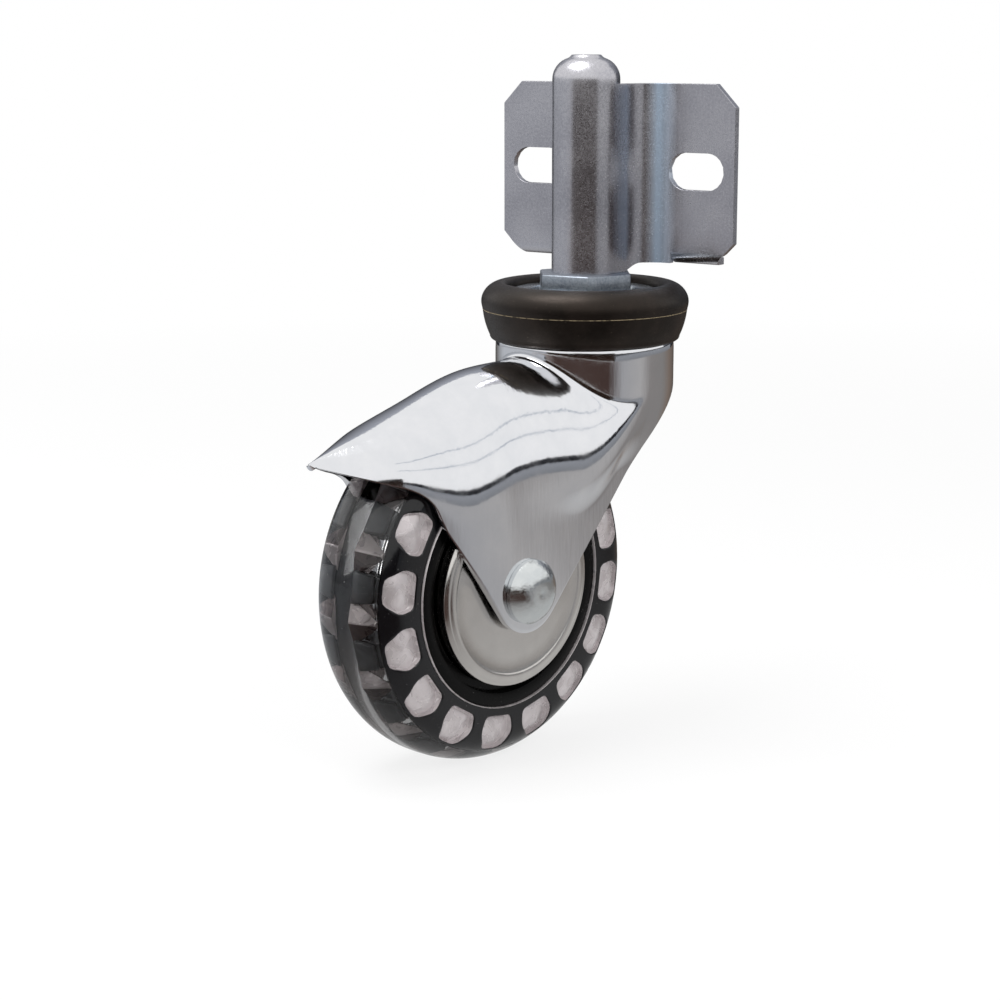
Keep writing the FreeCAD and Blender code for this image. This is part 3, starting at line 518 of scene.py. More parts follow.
def neck_corner(around):
    """The neck's foot at an angle from the front, as a distance ahead and a way down."""
    if around >= 90:
        return -NECK * math.radians(around - 90), 1 - 0.7 * smooth((around - 90) / 90)
    ahead = NECK * math.cos(math.radians(around))
    wide, _, _, _, power = section(ahead)
    share = min(NECK * math.sin(math.radians(around)) / wide, 1.0)
    return ahead, math.asin(share ** (power / 2)) / (math.pi / 2)


def column(q):
    """Start and end of a column from nose, 0, to the back of the neck, 1."""
    if q <= 0.5:
        step = q / 0.5
        start = (NOSE_END + (NECK + FILLET - NOSE_END) * step, 0.0)
        end = NOSE_END + (40 - NOSE_END) * step
    else:
        around = (q - 0.5) * 360
        ahead, down = neck_corner(around)
        lift = FILLET * max(math.cos(math.radians(around)), 0.0)
        start = (ahead + lift, down + 0.06 * math.sin(math.radians(min(around, 90))))
        step = (q - 0.5) / 0.5
        end = 40 * (1 - step) ** 1.25 - HALF_TURN * step**1.5
    return start, (end, rim_down(end))


# %% Shape half of the hood
COLUMNS, ROWS = 144, 30
bm = bmesh.new()
around_layer = bm.verts.layers.float.new("around")
bmesh.ops.create_grid(bm, x_segments=COLUMNS, y_segments=ROWS, size=1)
ends = [column(k / COLUMNS) for k in range(COLUMNS + 1)]
foot = []
for vert in bm.verts:
    q = (vert.co.x + 1) / 2
    r = (vert.co.y + 1) / 2
    start, end = ends[round(q * COLUMNS)]
    vert.co = hood_point(start[0] + (end[0] - start[0]) * r, start[1] + (end[1] - start[1]) * r)
    vert[around_layer] = (q - 0.5) * 360
    if r < 0.001 and q > 0.499:
        foot.append(vert)
print("grid", len(bm.faces), "foot", len(foot))


# %% Raise the neck from its foot
def neck_ring(around, step):
    """Rings above the foot: two of the fillet, the wall, then the collar's step and the ball track."""
    ahead, down = neck_corner(around)
    corner = hood_point(ahead, down)
    if step < 3:
        lift = FILLET * max(math.cos(math.radians(around)), 0.0)
        low = hood_point(ahead + lift, down + 0.06 * math.sin(math.radians(min(around, 90))))
        high = corner + Vector((0, 0, 0.95))
        t = (step + 1) / 3
        return low * (1 - t) ** 2 + corner * 2 * t * (1 - t) + high * t * t
    radius, height = collar[step - 3]
    if step == 3:
        height = (corner.z + 0.95 + RING_BOTTOM) / 2
    return Vector((radius * math.sin(math.radians(around)), -radius * math.cos(math.radians(around)), height))


seat = NECK - NECK_STEP
collar = [(NECK, 0), (NECK, RING_BOTTOM - 0.12), (NECK - 0.3, RING_BOTTOM - 0.02), (seat, RING_BOTTOM - 0.02),
          (seat, HOOD_TOP - 0.8), (seat - 0.8, HOOD_TOP), (13.7, HOOD_TOP), (12.5, HOOD_TOP - 1.0),
          (11.4, HOOD_TOP - 1.25), (10.3, HOOD_TOP - 1.0), (9.1, HOOD_TOP), (8.2, HOOD_TOP + 0.35),
          (7.2, HOOD_TOP + 0.55), (6.2, HOOD_TOP + 0.35), (5.4, HOOD_TOP)]
foot_set = set(foot)
edges = [e for e in bm.edges if e.verts[0] in foot_set and e.verts[1] in foot_set]
for step in range(len(collar) + 3):
    made = bmesh.ops.extrude_edge_only(bm, edges=edges)["geom"]
    for vert in [g for g in made if isinstance(g, bmesh.types.BMVert)]:
        vert.co = neck_ring(vert[around_layer], step)
    edges = [g for g in made if isinstance(g, bmesh.types.BMEdge)
             and all(abs((v.co - neck_ring(v[around_layer], step)).length) < 0.001 for v in g.verts)]
print("neck rings", len(collar) + 3)

# %% Mirror it, and give the sheet its thickness
for vert in bm.verts:
    if abs(vert.co.x) < 0.01:
        vert.co.x = 0.0
bmesh.ops.mirror(bm, geom=bm.verts[:] + bm.edges[:] + bm.faces[:], axis="X", merge_dist=0.002)
hood = piece("hood_shell", bm, on_fork, "fork", chrome, sharp=180, open_sheet=True)
smoother = hood.modifiers.new("rounder", "SUBSURF")
smoother.levels = 1
smoother.render_levels = 1
wall = hood.modifiers.new("sheet", "SOLIDIFY")
wall.thickness = SHEET * MM
wall.offset = -1
edge = hood.modifiers.new("sheared_edge", "BEVEL")
edge.width = 0.3 * MM
edge.segments = 2
edge.limit_method = "ANGLE"
edge.angle_limit = math.radians(50)
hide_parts("fork_hood")

# %% [markdown]
# ## The rubber ring
# A moulded ring hides the swivel bearing and bumps against furniture. It is a turned shape, so its profile
# is spun about the swivel axis. The two halves of the mould meet in a fine raised line at the widest place.

# %% Spin the rubber ring
crest, outer, mouth, ring_foot = 17.8, 21.6, 16.2, 20.1
top = SEAM + 5.6
profile = [(seat + 0.05, RING_BOTTOM), (ring_foot - 0.8, RING_BOTTOM)]
profile += arc((ring_foot - 0.8, RING_BOTTOM), (ring_foot - 0.2, RING_BOTTOM + 0.3), (ring_foot, RING_BOTTOM + 0.9), 4)
profile += arc((ring_foot, RING_BOTTOM + 0.9), (outer - 0.45, SEAM - 2.6), (outer, SEAM - 0.1), 10)
profile += arc((outer, SEAM + 0.1), (outer + 0.3, SEAM + 1.5), (outer + 0.15, SEAM + 2.6), 6)
profile += arc((outer + 0.15, SEAM + 2.6), (outer - 1.0, SEAM + 4.4), (crest, top), 14)
profile += arc((crest, top), (mouth + 0.45, top - 0.55), (mouth, top - 1.7), 8)
profile += [(mouth, HOOD_TOP + 0.05), (seat + 0.05, HOOD_TOP + 0.05)]
ring = piece("rubber_ring", turned(profile, "Z"), on_fork, "fork", rubber)
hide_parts("bumper_ring")
bead = [(outer - 0.1, SEAM - 0.1), (outer + 0.05, SEAM - 0.07), (outer + 0.05, SEAM + 0.07), (outer - 0.1, SEAM + 0.1)]
seam_bead = piece("ring_seam", turned(bead, "Z"), on_fork, "fork", seam_dust)

# %% [markdown]
# ## The bracket
# The works cut the bracket as a flat blank with its slots, then bend it round a post, so it is made that way
# here. Half of the blank is a grid and a plate with a slot. The blank's long direction is then rolled along
# the pocket's plan: round the post, along its side, out through the wide bend and on into the wing.

# %% The blank's long direction, rolled up
POST = 7.05
WING_BEND = 6.8
HALF_WIDTH = 29.2
FACE = -1.5
PLATE_TOP, PLATE_BOTTOM = 18.0, -19.3
FOOT = -21.0
CUT = 4.7
SIDE_START = POST * math.pi / 2
BEND_START = SIDE_START + AXIS_BEHIND + FACE - WING_BEND
WING_START = BEND_START + WING_BEND * math.pi / 2
WING_END = WING_START + HALF_WIDTH - POST - WING_BEND


def rolled(along, height):
    """Where a point of the blank's front ends up, by its distance from the middle of the post."""
    if along < SIDE_START:
        turn = along / POST
        return Vector((POST * math.sin(turn), -AXIS_BEHIND - POST * math.cos(turn), height))
    if along < BEND_START:
        return Vector((POST, along - SIDE_START - AXIS_BEHIND, height))
    turn = min(along - BEND_START, WING_START - BEND_START) / WING_BEND
    past = max(along - WING_START, 0.0)
    return Vector((POST + WING_BEND * (1 - math.cos(turn)) + past,
                   FACE - WING_BEND + WING_BEND * math.sin(turn), height))


print("half blank", round(WING_END, 2), "bend ends at", round(WING_START, 2))

# %% The part of the blank round the post, down to its flared foot
ROWS = 14
LIP_ROW = PLATE_BOTTOM + 2.5
PLATE_EDGE = WING_START - 1.2
along_cuts = ([SIDE_START * k / 16 for k in range(17)] + [(SIDE_START + BEND_START) / 2, BEND_START]
              + [BEND_START + (PLATE_EDGE - BEND_START) * k / 12 for k in range(1, 13)])
heights = [LIP_ROW + (PLATE_TOP - LIP_ROW) * k / ROWS for k in range(ROWS + 1)]


def foot_height(along):
    """The foot is lowest under the post and rises where it runs out towards the wings."""
    return FOOT + (PLATE_BOTTOM - FOOT) * smooth((along - BEND_START + 0.5) / 4.8)


bm = bmesh.new()
bmesh.ops.create_grid(bm, x_segments=len(along_cuts) - 1, y_segments=ROWS + 2, size=1)
for vert in bm.verts:
    along = along_cuts[round((vert.co.x + 1) / 2 * (len(along_cuts) - 1))]
    row = round((vert.co.y + 1) / 2 * (ROWS + 2))
    low = foot_height(along)
    height = low if row == 0 else (low + LIP_ROW) / 2 if row == 1 else heights[row - 2]
    vert.co = Vector((along, height, 0))
print("post grid", len(bm.faces))

# %% The wing's plate, drawn inwards from its outline to the slot
SLOT_MIDDLE = WING_END - 2.6 - 6.65
SLOT_ROUND, SLOT_STRAIGHT = 3.85, 2.8
LIP_IN, LIP_OUT = WING_START + 0.2, WING_END - CUT


def slot_edge(direction, radius):
    """Distance from the slot's middle to its rounded outline."""
    near, far = 0.0, 20.0
    for _ in range(30):
        middle = (near + far) / 2
        point = direction * middle
        beside = max(abs(point.x) - SLOT_STRAIGHT, 0.0)
        if math.hypot(beside, point.y) < radius:
            near = middle
        else:
            far = middle
    return near


outline = [(PLATE_EDGE, z) for z in heights]
outline += [(PLATE_EDGE + (LIP_OUT - PLATE_EDGE) * k / 12, PLATE_TOP) for k in range(1, 13)]
outline += [(WING_END - CUT / 2, PLATE_TOP - CUT / 2)]
outline += [(WING_END, PLATE_TOP - CUT + (PLATE_BOTTOM + 2 * CUT - PLATE_TOP) * k / 12) for k in range(13)]
outline += [(LIP_OUT + 2.5, LIP_ROW), (LIP_OUT, LIP_ROW)]
outline += [(LIP_OUT + (LIP_IN - LIP_OUT) * k / 12, LIP_ROW) for k in range(1, 13)]
slot_middle = Vector((SLOT_MIDDLE, 0.0))
plate = bmesh.new()
order = plate.verts.layers.int.new("order")
loop = bmesh.ops.create_circle(plate, segments=len(outline), radius=1)["verts"]
for k, vert in enumerate(loop):
    vert[order] = k
edges = plate.edges[:]
for share in (0.0, 0.4, 0.75, 1.0):
    if share:
        made = bmesh.ops.extrude_edge_only(plate, edges=edges)["geom"]
        loop = [g for g in made if isinstance(g, bmesh.types.BMVert)]
        fresh = set(loop)
        edges = [g for g in made if isinstance(g, bmesh.types.BMEdge) and set(g.verts) <= fresh]
    for vert in loop:
        start = Vector(outline[vert[order]])
        direction = (start - slot_middle).normalized()
        end = slot_middle + direction * slot_edge(direction, SLOT_ROUND)
        vert.co = start.lerp(end, share).to_3d()
print("plate faces", len(plate.faces))

# %% The plate's corner beside the lip's bend, then both together
small = bmesh.ops.create_grid(plate, x_segments=1, y_segments=2, size=1)["verts"]
for vert in small:
    height = PLATE_BOTTOM + (LIP_ROW - PLATE_BOTTOM) * (vert.co.y + 1) / 2
    vert.co = Vector((PLATE_EDGE if vert.co.x < 0 else LIP_IN, height, 0))
plate_mesh = bpy.data.meshes.new("plate_half")
plate.to_mesh(plate_mesh)
plate.free()
bm.from_mesh(plate_mesh)
bpy.data.meshes.remove(plate_mesh)
for vert in bm.verts:
    vert.co = rolled(vert.co.x, vert.co.y)
print("rolled", len(bm.faces))

# %% [markdown]
# The lip is the wing's lower edge, bent back over a bar. So the edge that waits there is spun through a right
# angle about the bar's line, and then drawn straight for two millimetres. Its end follows the cut corner.

# %% Bend the lip
bmesh.ops.remove_doubles(bm, verts=bm.verts, dist=0.002)
waiting = [e for e in bm.edges if e.is_boundary and all(abs(v.co.z - LIP_ROW) < 0.001 for v in e.verts)
           and all(rolled(LIP_IN, 0).x - 0.01 < v.co.x < HALF_WIDTH - CUT + 2.51 for v in e.verts)]
bent = bmesh.ops.spin(bm, geom=waiting, cent=(0, 1.0, LIP_ROW), axis=(1, 0, 0), dvec=(0, 0, 0),
                      angle=math.pi / 2, steps=6, use_merge=False)["geom_last"]
drawn = bmesh.ops.extrude_edge_only(bm, edges=[g for g in bent if isinstance(g, bmesh.types.BMEdge)])["geom"]
bmesh.ops.translate(bm, verts=[g for g in drawn if isinstance(g, bmesh.types.BMVert)], vec=(0, 2.0, 0))
for vert in bm.verts:
    if vert.co.x > HALF_WIDTH - CUT + 2.4 and vert.co.z < LIP_ROW:
        vert.co.x -= LIP_ROW - vert.co.z
bmesh.ops.mirror(bm, geom=bm.verts[:] + bm.edges[:] + bm.faces[:], axis="X", merge_dist=0.002)
print("lip edges", len(waiting), "lowest", round(min(v.co.z for v in bm.verts), 2))

# %% [markdown]
# A punch closes the post's top into a dome and pierces it, which leaves a raised edge round the hole. The
# dome is round, so it is spun with as many steps as the post has, and its lowest ring welds to the post.

# %% The dome, and the sheet's thickness
DOME_TOP, DOME_ROUND = 23.4, 4.5
profile = [(POST, PLATE_TOP), (POST, DOME_TOP - DOME_ROUND)]
profile += arc((POST, DOME_TOP - DOME_ROUND), (POST - 1.32, DOME_TOP - 1.32), (POST - 3.2, DOME_TOP - 0.19), 10)
profile += arc((POST - 3.2, DOME_TOP - 0.19), (3.45, DOME_TOP + 0.05), (3.2, DOME_TOP + 0.3), 3)
profile += arc((3.2, DOME_TOP + 0.3), (2.85, DOME_TOP + 0.5), (2.5, DOME_TOP + 0.3), 5)
dome = turned(profile, "Z", 64, closed=False)
bmesh.ops.rotate(dome, verts=dome.verts, cent=(0, 0, 0), matrix=Matrix.Rotation(-math.pi / 2, 3, "Z"))
bmesh.ops.translate(dome, verts=dome.verts, vec=(0, -AXIS_BEHIND, 0))
dome_mesh = bpy.data.meshes.new("dome_half")
dome.to_mesh(dome_mesh)
dome.free()
bm.from_mesh(dome_mesh)
bpy.data.meshes.remove(dome_mesh)
bracket = piece("bracket_sheet", bm, Matrix.Scale(MM, 4), "bracket", zinc, sharp=180, open_sheet=True)
wall = bracket.modifiers.new("sheet", "SOLIDIFY")
wall.thickness = SHEET * MM
wall.offset = -1
wall.use_even_offset = True
edge = bracket.modifiers.new("sheared_edge", "BEVEL")
edge.width = 0.22 * MM
edge.segments = 2
edge.limit_method = "ANGLE"
edge.angle_limit = math.radians(40)
edge.harden_normals = True
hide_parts("mounting_bracket")

# %% [markdown]
# ## The stem
# The stem is cold formed in one piece: a round pin in the pocket, a hexagon for the spanner, and the journal
# with its peened end. Pin and journal are one turned profile. The hexagon is a six-sided cone shape with
# equal ends, and its edges are bevelled, as forging leaves them.

# %% Spin the pin and shape the hexagon
PIN_TOP, GROOVE_TOP = 21.3, 15.3
HEX_TOP, HEX_BOTTOM = -21.0, -26.0
profile = [(0, -39.0), (4.1, -39.0), (6.1, -38.3), (6.8, -37.3), (6.8, -36.85), (4.9, -36.85), (4.9, HEX_BOTTOM),
           (5.5, HEX_BOTTOM + 1), (5.5, GROOVE_TOP - 2), (4.6, GROOVE_TOP - 2), (4.6, GROOVE_TOP),
           (5.5, GROOVE_TOP), (5.5, PIN_TOP - 2.4), (3.1, PIN_TOP), (0, PIN_TOP)]
pin = piece("stem_pin", turned(profile, "Z", 96, closed=False), on_bracket, "bracket", bright_zinc)
bm = bmesh.new()
bmesh.ops.create_cone(bm, cap_ends=True, segments=6, radius1=10.75, radius2=10.75, depth=5)
bmesh.ops.rotate(bm, verts=bm.verts, cent=(0, 0, 0), matrix=Matrix.Rotation(math.radians(37), 3, "Z"))
bmesh.ops.translate(bm, verts=bm.verts, vec=(0, 0, (HEX_TOP + HEX_BOTTOM) / 2))
upright = [e for e in bm.edges if abs(e.verts[0].co.z - e.verts[1].co.z) > 1]
bmesh.ops.bevel(bm, geom=upright, offset=0.35, offset_type="OFFSET", segments=2, profile=0.5,
                affect="EDGES", clamp_overlap=True, material=-1)
rims = [e for e in bm.edges if abs(e.verts[0].co.z - e.verts[1].co.z) < 0.01]
bmesh.ops.bevel(bm, geom=rims, offset=0.3, offset_type="OFFSET", segments=2, profile=0.5,
                affect="EDGES", clamp_overlap=True, material=-1)
hexagon = piece("stem_hexagon", bm, on_bracket, "bracket", darker_zinc, sharp=50)
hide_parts("stem")

# %% Spin the ball cup under the hexagon
RIM_TOP = HEX_BOTTOM + 1.5
profile = [(5.0, -28.7), (8.6, -28.7)]
profile += arc((8.6, -28.7), (11.4, -27.55), (14.2, -28.7), 10)
profile += [(14.2, -30.4), (15.3, -30.4), (15.4, -30.3), (15.4, RIM_TOP - 0.8)]
profile += arc((15.4, RIM_TOP - 0.8), (15.1, RIM_TOP - 0.2), (14.6, RIM_TOP), 5)
profile += [(11.8, RIM_TOP)]
profile += arc((11.8, RIM_TOP), (11.4, RIM_TOP - 0.15), (11.25, RIM_TOP - 0.5), 4)
profile += [(10.9, HEX_BOTTOM), (5.0, HEX_BOTTOM)]
cup = piece("ball_cup", turned(profile, "Z", 128), on_bracket, "bracket", bright_zinc)
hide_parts("upper_race")

# %% [markdown]
# ## Rivet and dust discs
# Turned profiles again, this time about the axle. The rivet's head keeps an upright edge under its dome,
# from the die's parting. The disc's face is slightly crowned and its edge is rolled.

# %% Spin the rivet
profile = [(-18.2, 0), (-18.15, 1.8), (-17.85, 3.7), (-17.1, 5.1), (-16.4, 5.9), (-16, 6.0), (-16, 3.0),
           (16, 3.0), (16, 6.5), (16.1, 6.6), (17.0, 6.6)]
profile += arc((17.0, 6.6), (18.9, 4.6), (19.6, 0.0), 16)
rivet = piece("rivet_domed", turned(profile, "X", 96), on_axle, "fork", rivet_steel)
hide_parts("axle_rivet")

# %% Spin the two dust discs
for name, side in (("right", 1), ("left", -1)):
    profile = [(13.1, 6.7), (13.1, 10.0), (13.05, 14.0), (12.95, 17.3)]
    profile += arc((12.95, 17.3), (13.2, 18.3), (12.95, 19.2), 8)
    profile += arc((12.95, 19.2), (12.7, 20.0), (11.9, 20.25), 10)
    profile += arc((11.9, 20.25), (11.1, 20.05), (10.8, 19.6), 6)
    profile += [(7.5, 19.6), (7.5, 18.9), (10.3, 18.9)]
    profile += arc((10.3, 18.9), (11.4, 18.4), (11.9, 17.3), 6)
    profile += [(12.3, 11.0), (12.3, 6.7)]
    disc = piece("dust_disc_" + name, turned([(side * x, r) for x, r in profile], "X"), on_axle, "wheel",
                 satin_steel)
    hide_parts("dust_cap_" + name)

# %% [markdown]
# ## The wheel's core
# The hub, web and rim are one moulding. A groove runs round each disc, and the rim's side stands level
# with the tyre. Small bevels in the profile give its edges the highlights of a glossy moulding.

# %% Spin the core
RIM = 24.8
half = [(11.9, 11.0), (11.9, 13.3), (11.7, 13.5), (3.2, 13.5), (2.0, 14.6), (2.0, 19.0), (3.0, 20.1), (9.2, 20.1),
        (9.2, 21.6), (10.5, 21.9), (10.8, 22.05), (10.9, 22.35), (10.9, 24.5), (10.75, 24.75), (9.7, 24.8),
        (8.3, 23.4)]
profile = half + [(-x, r) for x, r in reversed(half)]
profile += [(-4.9, 11.0), (-4.9, 9.5), (4.9, 9.5), (4.9, 11.0)]
core = piece("wheel_moulding", turned(profile, "X", 160), on_axle, "wheel", rim_black)
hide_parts("wheel_core")

# %% [markdown]
# ## The tyre
# Sixteen windows ring each side of the black tyre. One sector is drawn as a loop round its border, extruded
# inwards loop by loop: over the side, over the window's lip, down its wall, and across its floor. Then the
# sector is repeated round the wheel and mirrored. Beyond the windows the black stops and a clear smoked
# skin makes up the tread.

# %% The tyre's side in section
WINDOWS = 16
PHASE = 0.65
TREAD = 37.5
BLACK_END = 34.4
STEP = 2 * math.pi / WINDOWS


def side_reach(radius):
    """How far the tyre's side stands out at a radius."""
    if radius > 27.5:
        return 11.0 - 1.8 * ((radius - 27.5) / 6.5) ** 3.65
    return 11.0 - 0.1 * ((27.5 - radius) / 2.7) ** 2


def tread_radius(side):
    return TREAD - 3.5 * (abs(side) / 9.2) ** 2.6


# %% The window's outline
corners = [(3.6, 26.6), (4.7, 30.0), (2.6, 34.0), (-2.6, 34.0), (-4.7, 30.0), (-3.6, 26.6)]
centre = Vector((0.0, 30.3))
CORNER = 0.9


def window_edge(direction):
    """Distance from the window's centre to its rounded outline."""
    near, far = 0.5, 6.0
    for _ in range(24):
        middle = (near + far) / 2
        point = centre + direction * middle
        beyond = 0.0
        for (x0, y0), (x1, y1) in zip(corners, corners[1:] + corners[:1]):
            along = Vector((x1 - x0, y1 - y0)).normalized()
            out = Vector((along.y, -along.x))
            if out.dot(Vector((x0, y0)) - centre) < 0:
                out = -out
            past = out.dot(point - Vector((x0, y0))) + CORNER
            beyond += max(past, 0.0) ** 2
        if math.sqrt(beyond) < CORNER:
            near = middle
        else:
            far = middle
    return near


print("window reach", [round(window_edge(Vector(d)), 2) for d in ((1, 0), (0, 1), (0, -1))])

# %% One sector of the tyre's side, loop by loop
SIDE = 10
border = []
inner_end = RIM + 0.3
for k in range(SIDE):
    angle = STEP * (k / SIDE - 0.5)
    border.append((inner_end, angle))
for k in range(SIDE):
    border.append((inner_end + (BLACK_END - inner_end) * k / SIDE, STEP / 2))
for k in range(SIDE):
    border.append((BLACK_END, STEP * (0.5 - k / SIDE)))
for k in range(SIDE):
    border.append((BLACK_END + (inner_end - BLACK_END) * k / SIDE, -STEP / 2))
outer_loop = [Vector((r * math.sin(a), r * math.cos(a))) for r, a in border]
window_loop = []
for point in outer_loop:
    direction = (point - centre).normalized()
    window_loop.append(centre + direction * window_edge(direction))

bm = bmesh.new()
order = bm.verts.layers.int.new("order")
loop = bmesh.ops.create_circle(bm, segments=4 * SIDE, radius=1)["verts"]
for k, vert in enumerate(loop):
    vert[order] = k
# share towards the window, scale of the window, depth behind the side
loops = [(0.0, 1, 0), (0.3, 1, 0), (0.6, 1, 0), (0.86, 1, 0), (1.0, 1, 0), (1.0, 0.98, 0.08), (1.0, 0.97, 0.3),
         (1.0, 0.95, 1.0), (1.0, 0.92, 1.3), (1.0, 0.88, 1.35), (1.0, 0.85, 1.25), (1.0, 0.8, 1.2),
         (1.0, 0.4, 1.0), (1.0, 0.1, 0.8)]
edges = bm.edges[:]
for number, (share, scale, depth) in enumerate(loops):
    if number:
        made = bmesh.ops.extrude_edge_only(bm, edges=edges)["geom"]
        verts = [g for g in made if isinstance(g, bmesh.types.BMVert)]
        fresh = set(verts)
        edges = [g for g in made if isinstance(g, bmesh.types.BMEdge) and set(g.verts) <= fresh]
    else:
        verts = loop
    for vert in verts:
        k = vert[order]
        flat = outer_loop[k].lerp(centre + (window_loop[k] - centre) * scale, share)
        vert.co = Vector((side_reach(flat.length) - depth, flat.x, flat.y))
floor = bmesh.ops.contextual_create(bm, geom=edges)["faces"]
for face in bm.faces:
    depth = side_reach(face.calc_center_median().yz.length) - face.calc_center_median().x
    face.material_index = 1 if depth > 0.25 else 0
print("sector faces", len(bm.faces), "floor", len(floor))

# %% Repeat the sector, and mirror it to the far side
first = bm.verts[:] + bm.edges[:] + bm.faces[:]
for k in range(1, WINDOWS):
    copy = bmesh.ops.duplicate(bm, geom=first)["geom"]
    bmesh.ops.rotate(bm, verts=[g for g in copy if isinstance(g, bmesh.types.BMVert)],
                     cent=(0, 0, 0), matrix=Matrix.Rotation(STEP * k, 3, "X"))
bmesh.ops.rotate(bm, verts=bm.verts, cent=(0, 0, 0), matrix=Matrix.Rotation(STEP * PHASE, 3, "X"))
bmesh.ops.remove_doubles(bm, verts=bm.verts, dist=0.004)
bmesh.ops.mirror(bm, geom=bm.verts[:] + bm.edges[:] + bm.faces[:], axis="X", merge_dist=0.0)
open_edges = [e for e in bm.edges if e.is_boundary]
inner_edges = [e for e in open_edges if e.verts[0].co.yz.length < RIM + 2]
outer_edges = [e for e in open_edges if e.verts[0].co.yz.length > BLACK_END - 1]
print("open edges", len(inner_edges), len(outer_edges))

# %% Close the tyre's black body
def step_loops(edges, rings):
    """Carry both open loops inwards through rings of (side, radius), then bridge what is left."""
    for reach, radius in rings:
        made = bmesh.ops.extrude_edge_only(bm, edges=edges)["geom"]
        verts = [g for g in made if isinstance(g, bmesh.types.BMVert)]
        fresh = set(verts)
        for vert in verts:
            flat = vert.co.yz.normalized() * radius
            vert.co = Vector((math.copysign(reach, vert.co.x), flat.x, flat.y))
        edges = [g for g in made if isinstance(g, bmesh.types.BMEdge) and set(g.verts) <= fresh]
    return bmesh.ops.bridge_loops(bm, edges=edges)["faces"]


step_loops(inner_edges, [(11.25, 25.06), (11.36, 24.96), (11.25, 24.87), (10.7, 24.84), (9.7, 24.83), (8.3, 23.43)])
# Painted highlight: the bead where the tyre meets the rim takes the pale silvered lining, for a bright line along its
# edge.
for face in bm.faces:
    middle = face.calc_center_median()
    if 24.83 < middle.yz.length < 25.09 and abs(middle.x) > 10.7:
        face.material_index = 1
step_loops(outer_edges, [(8.55, 34.45), (8.35, 34.3), (7.8, 34.2), (3.5, 34.2)])
tyre = piece("tyre_body", bm, on_axle, "wheel", [tyre_black, lining_and_bead_highlight], sharp=50)
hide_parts("tyre")

# %% [markdown]
# Under the clear skin, silvered gables stand between the windows, with their ridges along the tread, and
# smoked patches lie beside them. A gable is a small wedge: a cube whose top edges meet in a ridge and
# whose outer end is drawn to a point. The slope that faces one way round the wheel gets a darker brown
# copy of the film as painted shade, and the other slope keeps the paler silvered film.

# %% Gables under the skin
bm = bmesh.new()
FOOT = 34.15
for side in (1, -1):
    for k in range(WINDOWS):
        made = bmesh.ops.create_cube(bm, size=1)["verts"]
        for vert in made:
            near_tip = vert.co.x > 0
            above = vert.co.z > 0
            spread = math.copysign(0.9 if near_tip else 4.7, vert.co.y)
            if above:
                spread = math.copysign(0.25, vert.co.y)
            height = (34.75 if near_tip else 36.15) if above else FOOT
            reach = 8.1 if near_tip else (2.3 if above else 2.0)
            vert.co = Vector((side * reach, spread, height))
        bmesh.ops.rotate(bm, verts=made, cent=(0, 0, 0),
                         matrix=Matrix.Rotation(STEP * (k + PHASE + 0.5), 3, "X"))
bmesh.ops.bevel(bm, geom=bm.edges[:], offset=0.12, offset_type="OFFSET", segments=1, profile=0.5,
                affect="EDGES", clamp_overlap=True, material=-1)
bm.normal_update()
for face in bm.faces:
    middle = face.calc_center_median()
    # Painted shade: faces turned one way round the wheel take the darker brown copy of the film.
    face.material_index = 1 if Vector((1, 0, 0)).cross(middle).dot(face.normal) > 0.2 else 0
gables = piece("tyre_gables", bm, on_axle, "wheel", [gable_film, shaded_facet_film], sharp=30)

# %% Smoked patches beside them
bm = bmesh.new()
for side in (1, -1):
    for k in range(WINDOWS):
        made = bmesh.ops.create_cube(bm, size=1)["verts"]
        for vert in made:
            near = vert.co.x > 0
            spread = math.copysign(2.6 if near else 3.3, vert.co.y)
            height = (35.0 if near else 35.5) if vert.co.z > 0 else FOOT
            vert.co = Vector((side * (7.2 if near else 2.6), spread, height))
        bmesh.ops.rotate(bm, verts=made, cent=(0, 0, 0),
                         matrix=Matrix.Rotation(STEP * (k + PHASE), 3, "X"))
bmesh.ops.bevel(bm, geom=bm.edges[:], offset=0.35, offset_type="OFFSET", segments=3, profile=0.5,
                affect="EDGES", clamp_overlap=True, material=-1)
pads = piece("tyre_patches", bm, on_axle, "wheel", smoke_pad, sharp=60)

# %% The clear skin with its parting line
profile = []
COUNT = 40
for k in range(COUNT + 1):
    side = 8.8 - 17.6 * k / COUNT
    profile.append((side, min(tread_radius(side), TREAD - 0.04) + (0.04 if abs(side) < 0.3 else 0.0)))
profile += [(-8.72, 34.42), (-8.4, 34.32), (-7.9, 34.23), (7.9, 34.23), (8.4, 34.32), (8.72, 34.42)]
skin = piece("tyre_skin", turned(profile, "X", 192), on_axle, "wheel", clear, sharp=60)

# %% [markdown]
# ## Finishes on the solids that stay
# The bearing pieces inside keep their solids. They get ground steel, and the cup under the hexagon gets the
# zinc.

# %% Dress the inner solids
dress = {"upper_race": bright_zinc, "grip_ring": bearing_steel, "lower_race": bearing_steel}
for name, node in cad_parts.items():
    material = dress.get(name, bearing_steel)
    if node.data.materials:
        for k in range(len(node.material_slots)):
            node.material_slots[k].material = material
    else:
        node.data.materials.append(material)
print("dressed", len(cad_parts))

# %% [markdown]
# ## Studio
# A pale floor, a soft light from above, and one from each side. Chrome and zinc show whatever stands round
# them. So a round grey table cloth, dark curtains behind the camera and behind the castor, and thin bars
# stand there for their reflections alone, as a product photographer sets them. The camera doesn't see them,
# and they throw neither light nor shadow.

